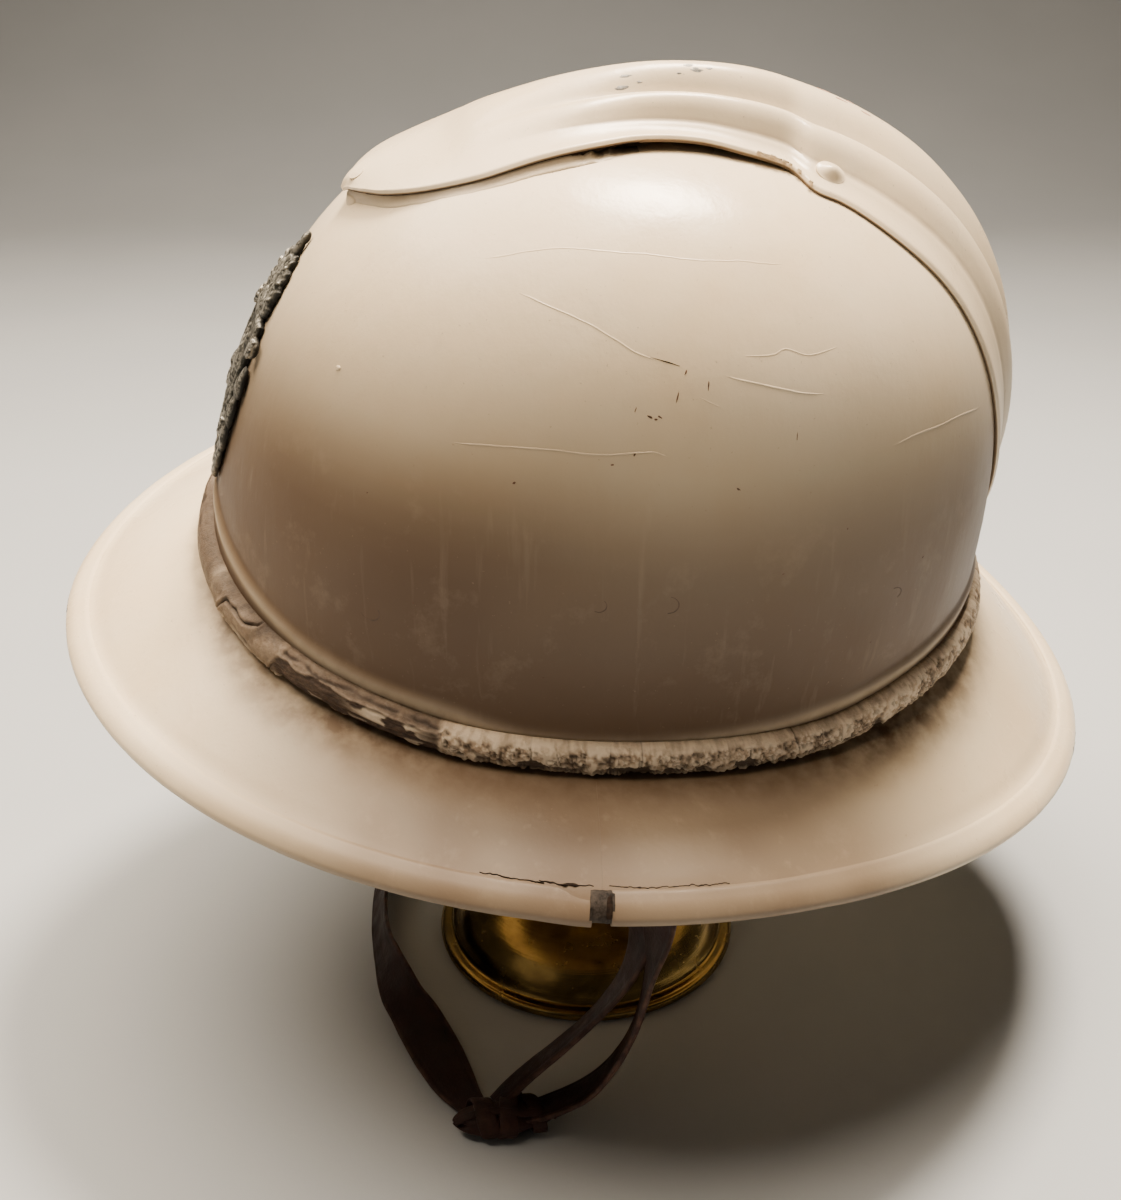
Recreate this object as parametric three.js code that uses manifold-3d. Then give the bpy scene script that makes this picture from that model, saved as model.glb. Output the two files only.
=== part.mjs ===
// An Adrian-type helmet on a plain display stand. Millimetres, +Z up.
// The row frame stands on the floor under the middle of the stand's foot: the
// helmet's front faces -Y and its left side +X. The helmet is built in a frame
// of its own (origin in the middle of its joint line) and tilted as it sits.
import * as THREE from 'three';
import { TessellateModifier } from 'three/addons/modifiers/TessellateModifier.js';
import { mergeVertices } from 'three/addons/utils/BufferGeometryUtils.js';
import ManifoldModule from 'manifold-3d';

const { Manifold, Mesh: ManifoldMesh } = await initManifold();

async function initManifold() {
  const library = await ManifoldModule();
  library.setup();
  return library;
}

// ---------------------------------------------------------------- dimensions
const gap = 0.3;                    // clearance between neighbouring pieces
const sheet = 1.0;                  // wall of the pressed steel pieces

const seat = { x: -9, y: 3, z: 129.8, pitchDeg: -3.7, leanDeg: 11.6 };

// The dome: an outline in plan that shrinks towards the crown.
const dome = {
  halfWidth: 90,
  front: 105.8,
  rear: 105.3,
  height: 119.1,
  topShift: -3.2,                   // the crown lies this far behind the middle
  outlinePower: 2.15,               // roundness of the outline in plan
  reachPower: 2.6,                  // roundness from the joint line inwards
  heightPower: { front: 1.74, rear: 3.18 },
  skirt: 4.2,                       // plain edge below the joint line
  around: 60,
  upward: 11,
};

const rim = {
  halfWidth: 129.8,
  front: 146.8,
  rear: 151,
  power: 1.91,
  sideZ: -11.5,
  frontZ: -16.2,
  rearZ: -35.3,
  seamY: -15.5,                     // where visor and neck guard meet
};

// The brim's upstand in the skull; climb is the share of the joint's climb its top takes.
const flange = { rise: 4, clearance: 0.75, ledge: 0.4, climb: 0.4 };

const edging = { gapWidth: 4, wall: 0.6, slack: 0.35, topWidth: 6.1, underWidth: 5.2, steps: 56 };

const welt = { height: 7.8, depth: 4.2, lift: -0.1 };
// The welt's top edge climbs from the sides to the front and the rear: its
// height over the joint line by the angle from the side, in degrees. The joint
// itself climbs by a share of that.
const jointClimb = 0.85;
const weltTops = {
  front: [
    { angle: 0, z: 3.8 },
    { angle: 12, z: 4 },
    { angle: 25, z: 4.8 },
    { angle: 33, z: 6.4 },
    { angle: 40, z: 7.7 },
    { angle: 50, z: 9.2 },
    { angle: 60, z: 11.2 },
    { angle: 70, z: 13.2 },
    { angle: 80, z: 14.4 },
    { angle: 90, z: 14.6 },
  ],
  rear: [
    { angle: 0, z: 3.8 },
    { angle: 20, z: 3.9 },
    { angle: 27, z: 4.9 },
    { angle: 34, z: 7 },
    { angle: 41, z: 8.8 },
    { angle: 50, z: 9.8 },
    { angle: 62, z: 10.8 },
    { angle: 76, z: 11.6 },
    { angle: 90, z: 11.8 },
  ],
};

// Crest: each row is a station, by its angle from upright about crestPivot.
const crestPivot = { y: 4, z: 20 };
const crestStations = [
  { angle: -43, halfWidth: 1, rise: 0.3, vent: 2.2 },
  { angle: -42.2, halfWidth: 3.2, rise: 0.8, vent: 2.5 },
  { angle: -41.4, halfWidth: 6.2, rise: 1.2, vent: 2.5 },
  { angle: -40.2, halfWidth: 10.3, rise: 1.3, vent: 2.4 },
  { angle: -37.6, halfWidth: 17, rise: 0.8, vent: 1.9 },
  { angle: -33.5, halfWidth: 22.3, rise: 0.4, vent: 1 },
  { angle: -29, halfWidth: 25.3, rise: 0.7, vent: 0.6 },
  { angle: -24.5, halfWidth: 26.8, rise: 3, vent: 0.9 },
  { angle: -18, halfWidth: 25.5, rise: 5.2, vent: 1.3 },
  { angle: -11, halfWidth: 23, rise: 7.6, vent: 1.7 },
  { angle: -4, halfWidth: 19.4, rise: 10, vent: 1.8 },
  { angle: 3, halfWidth: 18.5, rise: 11.3, vent: 1.7 },
  { angle: 9, halfWidth: 20.3, rise: 12, vent: 1.3 },
  { angle: 13.8, halfWidth: 21.1, rise: 12.3, vent: 0.7 },
  { angle: 15.8, halfWidth: 22.5, rise: 12.3, vent: 0.4 },
  { angle: 18.2, halfWidth: 28.4, rise: 12.2, vent: 0.15 },
  { angle: 22, halfWidth: 29.8, rise: 11.8, vent: 0.15 },
  { angle: 31, halfWidth: 34.2, rise: 10.7, vent: 0.15 },
  { angle: 42, halfWidth: 36.3, rise: 9.6, vent: 0.15 },
  { angle: 54, halfWidth: 37.6, rise: 8.9, vent: 0.15 },
  { angle: 66, halfWidth: 36.6, rise: 8.2, vent: 0.15 },
  { angle: 76, halfWidth: 33, rise: 6.4, vent: 0.15 },
  { angle: 84, halfWidth: 25.5, rise: 3.6, vent: 0.15 },
  { angle: 88, halfWidth: 16, rise: 1.5, vent: 0.15 },
  { angle: 90.5, halfWidth: 4, rise: 0.9, vent: 0.15 },
];
// Crest section: share of the rise at each share of the half width.
const crestSection = [
  { out: 0, up: 1 },
  { out: 0.16, up: 0.89 },
  { out: 0.36, up: 0.52 },
  { out: 0.51, up: 0.52 },
  { out: 0.69, up: 0.14 },
  { out: 0.8, up: 0.04 },
  { out: 1, up: 0 },
];
const crestSlices = 40;

const rivet = {
  radius: 3.5,
  height: 1.9,
  lift: 0.65,
  frontAngle: -39.4,
  rearAngle: 85,
  sideAngle: 20.7,
  sideOut: 22.4,
};

const badge = {
  middleAngle: -67.5,
  bendRadius: 100,                  // bent up and down only, and flat across
  plate: 1.6,
  relief: 1.4,
  shieldDrop: -9,                   // the shield's middle under the badge's
  shieldWidth: 30,
  shieldHeight: 36,
  narrowing: 0.8,
  knob: 2.6,
  stem: 2.4,
  petals: 7,
  leaves: 6,
  facet: 8,
};

const lug = {
  faceX: dome.halfWidth - 3.8,      // outer face, clear of the brim's upstand
  middleY: 2,
  width: 21,
  top: 7,
  bottom: -16,
  thickness: 1.6,
  slotWidth: 16,
  slotHeight: 5.2,
  bar: 2,
};

const strap = { width: 13.5, thickness: 1.8, turnRadius: 3, tail: 26 };

// Chin strap routes in the row frame, from the lugs down to the knot on the
// floor. The strap's width lies along the level line that is yaw degrees round
// from +Y towards +X, turned by roll about the strap's own length, and share is
// the width left where the strap gathers.
const nearInner = [
  { x: 78, y: -36.5, z: 5.6, yaw: 88, roll: -8, share: 0.5 },
  { x: 74, y: -29.3, z: 9.4, yaw: 88, roll: -18, share: 0.75 },
  { x: 71.5, y: -17.9, z: 17.4, yaw: 88, roll: -24, share: 0.95 },
  { x: 70.5, y: -8.6, z: 26, yaw: 86, roll: -26, share: 1 },
  { x: 70, y: -1.2, z: 36.5, yaw: 80, roll: -22, share: 1 },
  { x: 70, y: 3, z: 50, yaw: 66, roll: -10, share: 1 },
  { x: 70, y: 3.6, z: 72, yaw: 24, roll: 0, share: 1 },
];
const nearOuter = [
  { x: 77, y: 4.4, z: 82, yaw: 18, roll: 0, share: 1 },
  { x: 80, y: 5.4, z: 62, yaw: 56, roll: 10, share: 1 },
  { x: 81.5, y: 3.6, z: 48, yaw: 78, roll: 20, share: 1 },
  { x: 82.5, y: 0.4, z: 33, yaw: 86, roll: 24, share: 1 },
  { x: 83, y: -4.6, z: 21.6, yaw: 90, roll: 24, share: 1 },
  { x: 83, y: -11.6, z: 12.8, yaw: 90, roll: 20, share: 0.95 },
  { x: 82.5, y: -21.6, z: 7.2, yaw: 90, roll: 12, share: 0.75 },
  { x: 82, y: -32, z: 4, yaw: 90, roll: 4, share: 0.5 },
];
const farRun = [
  { x: -93, y: 3, z: 112, yaw: 6, roll: 0, share: 1 },
  { x: -87, y: -5, z: 90, yaw: 34, roll: 0, share: 1 },
  { x: -76, y: -19, z: 62, yaw: 58, roll: 0, share: 1 },
  { x: -61, y: -37, z: 36, yaw: 60, roll: 10, share: 1 },
  { x: -43, y: -54, z: 18, yaw: 44, roll: 30, share: 1 },
  { x: -26, y: -63, z: 9.4, yaw: 22, roll: 54, share: 1 },
  { x: -8, y: -66, z: 7.4, yaw: 6, roll: 68, share: 1 },
  { x: 13, y: -65.2, z: 7.2, yaw: -8, roll: 66, share: 1 },
  { x: 31, y: -61, z: 6.2, yaw: -14, roll: 46, share: 1 },
  { x: 43.5, y: -55.6, z: 4.2, yaw: -18, roll: 24, share: 1 },
  { x: 56, y: -50.6, z: 2.4, yaw: -16, roll: 8, share: 1 },
  { x: 68, y: -46.2, z: 2, yaw: -18, roll: 0, share: 0.8 },
  { x: 78.5, y: -41.4, z: 3, yaw: -20, roll: 0, share: 0.5 },
];
const knot = { x: 81.5, y: -34.5, z: 4.3, halfLength: 13.5, halfDepth: 6.4, halfHeight: 4 };

const stand = {
  footRadius: 47,
  footHeight: 26,
  poleRadius: 5,
  capRadius: 20,
  capRoundness: 26,
  capTop: 247.4,
};

// ------------------------------------------------------------------- helpers
const radians = THREE.MathUtils.degToRad;
const signedPower = (value, power) => Math.sign(value) * Math.abs(value) ** power;

// A closed solid through cross-sections of equal point count. Each section runs
// out along one skin and back along the other, so its two ends can be closed
// across from skin to skin.
function loft(sections, isRing = false) {
  const count = sections[0].length;
  const positions = sections.flat().flatMap((point) => [point.x, point.y, point.z]);
  const indices = [];
  const quad = (a, b, c, d) => indices.push(a, b, c, a, c, d);
  const last = isRing ? sections.length : sections.length - 1;
  for (let i = 0; i < last; i += 1) {
    const here = i * count;
    const there = ((i + 1) % sections.length) * count;
    for (let j = 0; j < count; j += 1) {
      const k = (j + 1) % count;
      quad(here + j, here + k, there + k, there + j);
    }
  }
  if (!isRing) {
    const end = (sections.length - 1) * count;
    for (let j = 0; j < count / 2 - 1; j += 1) {
      const k = count - 1 - j;
      quad(j, k, k - 1, j + 1);
      quad(end + j, end + j + 1, end + k - 1, end + k);
    }
  }
  return solidGeometry(positions, indices);
}

// Closed rings stacked from one pole to the other.
function stackRings(startPole, rings, endPole) {
  const count = rings[0].length;
  const points = [startPole, ...rings.flat(), endPole];
  const positions = points.flatMap((point) => [point.x, point.y, point.z]);
  const indices = [];
  const lastPole = points.length - 1;
  for (let j = 0; j < count; j += 1) {
    const k = (j + 1) % count;
    indices.push(0, 1 + j, 1 + k);
    for (let i = 0; i < rings.length - 1; i += 1) {
      const here = 1 + i * count;
      const there = here + count;
      indices.push(here + j, there + j, there + k, here + j, there + k, here + k);
    }
    const end = 1 + (rings.length - 1) * count;
    indices.push(lastPole, end + k, end + j);
  }
  return solidGeometry(positions, indices);
}

function solidGeometry(positions, indices) {
  const geometry = new THREE.BufferGeometry();
  geometry.setAttribute('position', new THREE.Float32BufferAttribute(positions, 3));
  geometry.setIndex(indices);
  if (signedVolume(positions, indices) < 0) {
    for (let i = 0; i < indices.length; i += 3) {
      [indices[i + 1], indices[i + 2]] = [indices[i + 2], indices[i + 1]];
    }
    geometry.setIndex(indices);
  }
  geometry.computeVertexNormals();
  return geometry;
}

function signedVolume(positions, indices) {
  const corner = (index) => new THREE.Vector3().fromArray(positions, index * 3);
  let sum = 0;
  for (let i = 0; i < indices.length; i += 3) {
    const [a, b, c] = [corner(indices[i]), corner(indices[i + 1]), corner(indices[i + 2])];
    sum += a.dot(b.cross(c)) / 6;
  }
  return sum;
}

// Smooth value at a place in a table, by cubic pieces through its rows.
function tableValue(rows, placeKey, valueKey, place) {
  const last = rows.length - 1;
  let i = 0;
  while (i < last - 1 && rows[i + 1][placeKey] < place) i += 1;
  const slope = (k) => {
    const before = rows[Math.max(k - 1, 0)];
    const after = rows[Math.min(k + 1, last)];
    return (after[valueKey] - before[valueKey]) / (after[placeKey] - before[placeKey]);
  };
  const span = rows[i + 1][placeKey] - rows[i][placeKey];
  const t = THREE.MathUtils.clamp((place - rows[i][placeKey]) / span, 0, 1);
  const from = rows[i][valueKey];
  const to = rows[i + 1][valueKey];
  const rise = t * t * (3 - 2 * t);
  const startBend = t * (1 - t) ** 2 * slope(i);
  const endBend = t * t * (1 - t) * slope(i + 1);
  return from + (to - from) * rise + span * (startBend - endBend);
}

// The same surface with its shared corners joined and nothing but positions.
function joined(geometry) {
  const bare = new THREE.BufferGeometry();
  bare.setAttribute('position', geometry.getAttribute('position').clone());
  bare.setIndex(geometry.getIndex());
  return mergeVertices(bare);
}

function toManifold(geometry) {
  const closed = joined(geometry);
  return new Manifold(new ManifoldMesh({
    numProp: 3,
    vertProperties: new Float32Array(closed.getAttribute('position').array),
    triVerts: new Uint32Array(closed.getIndex().array),
  }));
}

function fromManifold(solid) {
  const mesh = solid.getMesh();
  const points = [];
  for (let i = 0; i < mesh.vertProperties.length; i += mesh.numProp) {
    points.push(...mesh.vertProperties.slice(i, i + 3));
  }
  return solidGeometry(points, Array.from(mesh.triVerts));
}

// Moves every point of a geometry with a function that edits the point.
function movePoints(geometry, move) {
  const position = geometry.getAttribute('position');
  const point = new THREE.Vector3();
  for (let i = 0; i < position.count; i += 1) {
    move(point.fromBufferAttribute(position, i));
    position.setXYZ(i, point.x, point.y, point.z);
  }
  return geometry;
}

function piece(name, geometry, material) {
  const mesh = new THREE.Mesh(geometry, material);
  mesh.name = name;
  return mesh;
}

// ----------------------------------------------------------------- materials
const finish = (name, color, roughness, metalness) => {
  const material = new THREE.MeshStandardMaterial({ color, roughness, metalness });
  material.name = name;
  return material;
};
const ivoryPaint = finish('ivory_paint', 0xd9cbb4, 0.38, 0);
const weltPaint = finish('welt_paint', 0xa89983, 0.85, 0);
const badgeMetal = finish('badge_metal', 0x5b5a55, 0.55, 0.8);
const lugSteel = finish('lug_steel', 0x4a4641, 0.6, 0.8);
const strapLeather = finish('strap_leather', 0x3a1a14, 0.6, 0);
const standBrass = finish('stand_brass', 0xb08a3c, 0.22, 1);

// --------------------------------------------------------------------- skull
// The roundness upwards changes from the dome's front to its rear.
const frontRearPower = (rearShare) => THREE.MathUtils.mapLinear(
  rearShare,
  -1,
  1,
  dome.heightPower.front,
  dome.heightPower.rear,
);

// A point of the dome: turn goes round from the left side (+X) by way of the
// rear, climb from 0 at the joint line to 1 at the crown.
function domePoint(turn, climb, inset = 0) {
  const beta = climb * Math.PI / 2;
  const [across, along] = [Math.cos(turn), Math.sin(turn)];
  const power = dome.outlinePower;
  const outline = (Math.abs(across) ** power + Math.abs(along) ** power) ** (-1 / power);
  const reach = outline * Math.cos(beta) ** (2 / dome.reachPower);
  const up = Math.sin(beta) ** (2 / frontRearPower(along));
  const depth = (along < 0 ? dome.front : dome.rear) - inset;
  return new THREE.Vector3(
    (dome.halfWidth - inset) * reach * across,
    depth * reach * along + dome.topShift * up,
    (dome.height - inset) * up,
  );
}

// The height of the welt's top edge over the joint line at a turn.
function weltTop(turn) {
  const fromSide = THREE.MathUtils.radToDeg(Math.asin(Math.abs(Math.sin(turn))));
  const rows = Math.sin(turn) < 0 ? weltTops.front : weltTops.rear;
  return tableValue(rows, 'angle', 'z', fromSide);
}

// How far the whole joint of dome and brim climbs towards the front and the rear.
function jointRise(turn) {
  return jointClimb * (weltTop(turn) - weltTops.front[0].z);
}

// A ring of the dome; behind the welt its points move up with the joint.
function domeRing(climb, inset, z) {
  return Array.from({ length: dome.around }, (_, j) => {
    const turn = (j / dome.around) * Math.PI * 2;
    const point = domePoint(turn, climb, inset);
    if (z !== undefined) point.z = z;
    const low = 1 - (point.z + dome.skirt) / (weltTop(turn) + dome.skirt);
    point.z += jointRise(turn) * THREE.MathUtils.clamp(low, 0, 1);
    return point;
  });
}

function skullGeometry() {
  const climbs = Array.from({ length: dome.upward - 1 }, (_, i) => 1 - (i + 1) / dome.upward);
  const outer = climbs.map((climb) => domeRing(climb, 0));
  const inner = climbs.map((climb) => domeRing(climb, sheet)).reverse();
  const edge = [
    domeRing(0, 0),
    domeRing(0, 0, -dome.skirt),
    domeRing(0, sheet, -dome.skirt),
    domeRing(0, sheet),
  ];
  const crown = domePoint(0, 1);
  const crownInside = domePoint(0, 1, sheet);
  return stackRings(crown, [...outer, ...edge, ...inner], crownInside);
}

// Below 0 inside the dome and above 0 outside it.
function domeLevel(x, y, z) {
  const up = Math.max(z, 0) / dome.height;
  const fromMiddle = y - dome.topShift * up;
  const across = Math.abs(x) / dome.halfWidth;
  const along = fromMiddle / (fromMiddle < 0 ? dome.front : dome.rear);
  const power = dome.outlinePower;
  const reach = (across ** power + Math.abs(along) ** power) ** (1 / power);
  const rearShare = along / Math.max(Math.hypot(across, along), 1e-9);
  return reach ** dome.reachPower + up ** frontRearPower(rearShare) - 1;
}

// The dome's skin at one x on the ray at one angle from upright, and the
// outward direction there.
function domeAt(x, angleDeg) {
  const angle = radians(angleDeg);
  const { y: pivotY, z: pivotZ } = crestPivot;
  const at = (reach) => [x, pivotY + reach * Math.sin(angle), pivotZ + reach * Math.cos(angle)];
  let [low, high] = [0, 200];
  for (let i = 0; i < 40; i += 1) {
    const middle = (low + high) / 2;
    if (domeLevel(...at(middle)) < 0) low = middle;
    else high = middle;
  }
  const [, y, z] = at(low);
  const step = 0.5;
  const outward = new THREE.Vector3(
    domeLevel(x + step, y, z) - domeLevel(x - step, y, z),
    domeLevel(x, y + step, z) - domeLevel(x, y - step, z),
    domeLevel(x, y, z + step) - domeLevel(x, y, z - step),
  ).normalize();
  return { point: new THREE.Vector3(x, y, z), outward };
}

// ---------------------------------------------------------------------- brim
// The rim line.
function rimPoint(turn) {
  const across = signedPower(Math.cos(turn), 2 / rim.power);
  const along = signedPower(Math.sin(turn), 2 / rim.power);
  const [depth, endZ] = Math.sin(turn) < 0 ? [rim.front, rim.frontZ] : [rim.rear, rim.rearZ];
  return new THREE.Vector3(
    rim.halfWidth * across,
    depth * along,
    rim.sideZ + (endZ - rim.sideZ) * Math.sin(turn) ** 2,
  );
}

// The outward direction in plan of a line that goes round with turn.
function outwardInPlan(line, turn) {
  const step = 0.01;
  const along = line(turn + step).sub(line(turn - step));
  return new THREE.Vector3(along.y, -along.x, 0).normalize();
}

// The middle of the brim's sheet near the rim: distance in from the rim line
// and height over it, down to its rolled edge.
const edgeLine = [
  { inward: 7.4, up: 3.1 },
  { inward: 4.8, up: 2.2 },
  { inward: 2.6, up: 0.9 },
  { inward: 1.1, up: -0.8 },
];

function edgeLinePoints(turn) {
  const rimHere = rimPoint(turn);
  const outward = outwardInPlan(rimPoint, turn);
  return edgeLine.map(({ inward, up }) => {
    const point = rimHere.clone().addScaledVector(outward, -inward);
    point.z += up;
    return point;
  });
}

// Points set off from a line to its upper side, in the plane across the rim.
function offsetLine(points, outward, distance) {
  return points.map((point, i) => {
    const before = points[Math.max(i - 1, 0)];
    const after = points[Math.min(i + 1, points.length - 1)];
    const along = after.clone().sub(before);
    const normal = new THREE.Vector3(0, 0, along.dot(outward)).addScaledVector(outward, -along.z);
    return point.clone().addScaledVector(normal.normalize(), distance);
  });
}

function brimSection(turn) {
  const outward = outwardInPlan(rimPoint, turn);
  const foot = domePoint(turn, 0, sheet + flange.clearance + sheet / 2);
  const rise = jointRise(turn);
  const ledge = foot.clone().setZ(rise - dome.skirt - flange.ledge - sheet / 2);
  const edge = edgeLinePoints(turn);
  const middle = [foot.clone().setZ(flange.rise + flange.climb * rise), ledge];
  for (const share of [0.12, 0.4, 0.72]) {
    const point = ledge.clone().lerp(edge[0], share);
    point.z += 1.6 * Math.sin(share * Math.PI);
    middle.push(point);
  }
  middle.push(...edge);
  const upper = offsetLine(middle, outward, sheet / 2);
  const lower = offsetLine(middle, outward, -sheet / 2).reverse();
  return [...upper, ...lower];
}

// The seam on the left side, as a turn; it lies in the edging's gap.
const seamTurn = -Math.asin((-rim.seamY / rim.front) ** (rim.power / 2));

function turnsBetween(start, end, steps) {
  return Array.from({ length: steps + 1 }, (_, i) => start + ((end - start) * i) / steps);
}

function visorGeometry() {
  const half = gap / 2 / dome.halfWidth;
  return loft(turnsBetween(-Math.PI - seamTurn + half, seamTurn - half, 26).map(brimSection));
}

function neckGuardGeometry() {
  const half = gap / 2 / dome.halfWidth;
  return loft(turnsBetween(seamTurn + half, Math.PI - seamTurn - half, 32).map(brimSection));
}

// ------------------------------------------------------------------- edging
function edgingSection(turn) {
  const outward = outwardInPlan(rimPoint, turn);
  const line = edgeLinePoints(turn);
  const innerHalf = sheet / 2 + gap + edging.slack;
  const outerHalf = innerHalf + edging.wall;
  const trimmed = (points, width) => {
    const share = (width - edgeLine[1].inward) / (edgeLine[0].inward - edgeLine[1].inward);
    return [points[1].clone().lerp(points[0], share), ...points.slice(1)];
  };
  const top = trimmed(line, edging.topWidth);
  const under = trimmed(line, edging.underWidth);
  const tip = line.at(-1);
  const ahead = tip.clone().sub(line.at(-2)).normalize();
  const nose = (half) => tip.clone().addScaledVector(ahead, half);
  const around = (half) => [
    ...offsetLine(top, outward, half),
    nose(half),
    ...offsetLine(under, outward, -half).reverse(),
  ];
  return [...around(outerHalf), ...around(innerHalf).reverse()];
}

function edgingGeometry() {
  const half = edging.gapWidth / 2 / rim.halfWidth;
  const turns = turnsBetween(seamTurn + half, seamTurn - half + Math.PI * 2, edging.steps);
  return loft(turns.map(edgingSection));
}

// --------------------------------------------------------------------- welt
function weltGeometry() {
  const steps = 72;
  const profile = [
    { out: 0, up: -0.5 },
    { out: 0.62, up: -0.5 },
    { out: 0.95, up: -0.25 },
    { out: 1, up: 0.08 },
    { out: 0.78, up: 0.36 },
    { out: 0, up: 0.5 },
  ];
  const flatTop = welt.height / 2 + welt.lift;
  const sections = Array.from({ length: steps }, (_, i) => {
    const turn = (i / steps) * Math.PI * 2;
    const wall = domePoint(turn, 0);
    const outward = outwardInPlan((at) => domePoint(at, 0), turn);
    const rise = jointRise(turn);
    const climb = weltTop(turn) - flatTop - rise;
    return profile.map(({ out, up }) => {
      const share = Math.max(0, (up - 0.08) / 0.42);
      const slim = out * (1 - 0.04 * climb * share);
      const point = wall.clone().addScaledVector(outward, gap + slim * welt.depth);
      point.z = up * welt.height + welt.lift + rise + climb * share;
      return point;
    });
  });
  return loft(sections, true);
}

// --------------------------------------------------------------------- crest
function crestPoint(angle, share, depth) {
  const value = (key) => tableValue(crestStations, 'angle', key, angle);
  const { point, outward } = domeAt(share * value('halfWidth'), angle);
  const lift = tableValue(crestSection, 'out', 'up', Math.abs(share)) * value('rise');
  const flat = gap + sheet + value('vent');
  return point.addScaledVector(outward, flat + lift - depth);
}

function crestGeometry() {
  const shares = crestSection.map((row) => row.out);
  const across = [...shares.slice(1).reverse().map((out) => -out), ...shares];
  const first = crestStations[0].angle;
  const last = crestStations.at(-1).angle;
  const sections = turnsBetween(0, 1, crestSlices).map((share) => {
    const eased = (share - Math.sin(share * Math.PI * 2) / (Math.PI * 3.2));
    const angle = first + (last - first) * eased;
    const top = across.map((out) => crestPoint(angle, out, 0));
    const under = across.map((out) => crestPoint(angle, out, sheet)).reverse();
    return [...top, ...under];
  });
  return loft(sections);
}

function rivetMesh(name, angle, out) {
  const profile = [new THREE.Vector2(0, 0), new THREE.Vector2(rivet.radius, 0)];
  for (let i = 1; i <= 4; i += 1) {
    const lift = (i / 4) * (Math.PI / 2);
    const reach = i === 4 ? 0 : rivet.radius * Math.cos(lift);
    profile.push(new THREE.Vector2(reach, rivet.height * Math.sin(lift)));
  }
  const head = piece(name, new THREE.LatheGeometry(profile, 16), ivoryPaint);
  const share = out / tableValue(crestStations, 'angle', 'halfWidth', angle);
  const along = crestPoint(angle + 1.5, share, 0).sub(crestPoint(angle - 1.5, share, 0));
  const across = crestPoint(angle, share + 0.05, 0).sub(crestPoint(angle, share - 0.05, 0));
  const outward = across.cross(along).normalize();
  outward.multiplyScalar(Math.sign(outward.dot(domeAt(out, angle).outward)));
  head.position.copy(crestPoint(angle, share, 0)).addScaledVector(outward, rivet.lift);
  head.quaternion.setFromUnitVectors(new THREE.Vector3(0, 1, 0), outward);
  return head;
}

// --------------------------------------------------------------------- badge
// Drawn flat (x across, y up, z out of the dome) and bent onto the dome's front.
function shieldShape(halfWidth, height) {
  const shape = new THREE.Shape();
  const shoulder = height * 0.05;
  shape.moveTo(halfWidth, height / 2);
  shape.lineTo(-halfWidth, height / 2);
  shape.lineTo(-halfWidth, shoulder);
  shape.quadraticCurveTo(-halfWidth, -height * 0.36, 0, -height / 2);
  shape.quadraticCurveTo(halfWidth, -height * 0.36, halfWidth, shoulder);
  return shape;
}

function slab(shape, depth) {
  return new THREE.ExtrudeGeometry(shape, { depth, bevelEnabled: false, curveSegments: 5 });
}

function ball(radius, x, y, z) {
  return toManifold(new THREE.SphereGeometry(radius, 8, 6).translate(x, y, z));
}

function leafSolid(length, width, height, x, y, turnDeg) {
  const leaf = new THREE.SphereGeometry(1, 7, 5).scale(width / 2, length / 2, height);
  return toManifold(leaf.rotateZ(radians(turnDeg)).translate(x, y, badge.plate * 0.8));
}

// Where a wreath branch runs: from under the shield up each side of it.
function branchPoint(side, share, shift = 0) {
  const angle = radians(-88 + share * 106);
  const x = 4 + (15.5 + shift) * Math.cos(angle);
  return new THREE.Vector2(side * x, badge.shieldDrop + (23 + shift) * Math.sin(angle));
}

function branchSolid(side) {
  const shares = turnsBetween(0, 1, 8);
  const outline = [
    ...shares.map((share) => branchPoint(side, share, badge.stem / 2)),
    ...shares.reverse().map((share) => branchPoint(side, share, -badge.stem / 2)),
  ];
  return toManifold(slab(new THREE.Shape(outline), badge.plate + 0.3));
}

function shieldSolid() {
  const { shieldWidth, shieldHeight, plate, relief } = badge;
  const rimWidth = 2.2;
  const outer = toManifold(slab(shieldShape(shieldWidth / 2, shieldHeight), plate + relief));
  const inside = shieldShape(shieldWidth / 2 - rimWidth, shieldHeight - 2 * rimWidth);
  const field = toManifold(slab(inside, relief * 2).translate(0, 0, plate));
  const boss = new THREE.SphereGeometry(1, 10, 6).scale(6.5, 8, 2).translate(0, 2, plate + 0.4);
  return outer.subtract(field).add(toManifold(boss)).translate([0, badge.shieldDrop, 0]);
}

// Leaves, arms and knobs of the wreath on one side.
function wreathSolids(side) {
  const armHeight = badge.plate + 0.6;
  const arm = (x, y) => {
    const bar = new THREE.BoxGeometry(9, 2.6, armHeight);
    return toManifold(bar.translate(x, y, armHeight / 2));
  };
  const [highY, lowY] = [5, -17.5];
  const leaves = Array.from({ length: badge.leaves }, (_, i) => {
    const share = (i + 0.6) / badge.leaves;
    const { x, y } = branchPoint(side, share, 0.8);
    return leafSolid(9.5, 5, 1.9, x, y, side * (-76 + share * 110));
  });
  return [
    branchSolid(side),
    ...leaves,
    arm(side * 16.5, highY),
    arm(side * 14, lowY),
    ball(badge.knob, side * 20.5, highY, badge.knob * 0.85),
    ball(badge.knob, side * 17.5, lowY, badge.knob * 0.85),
  ];
}

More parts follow.
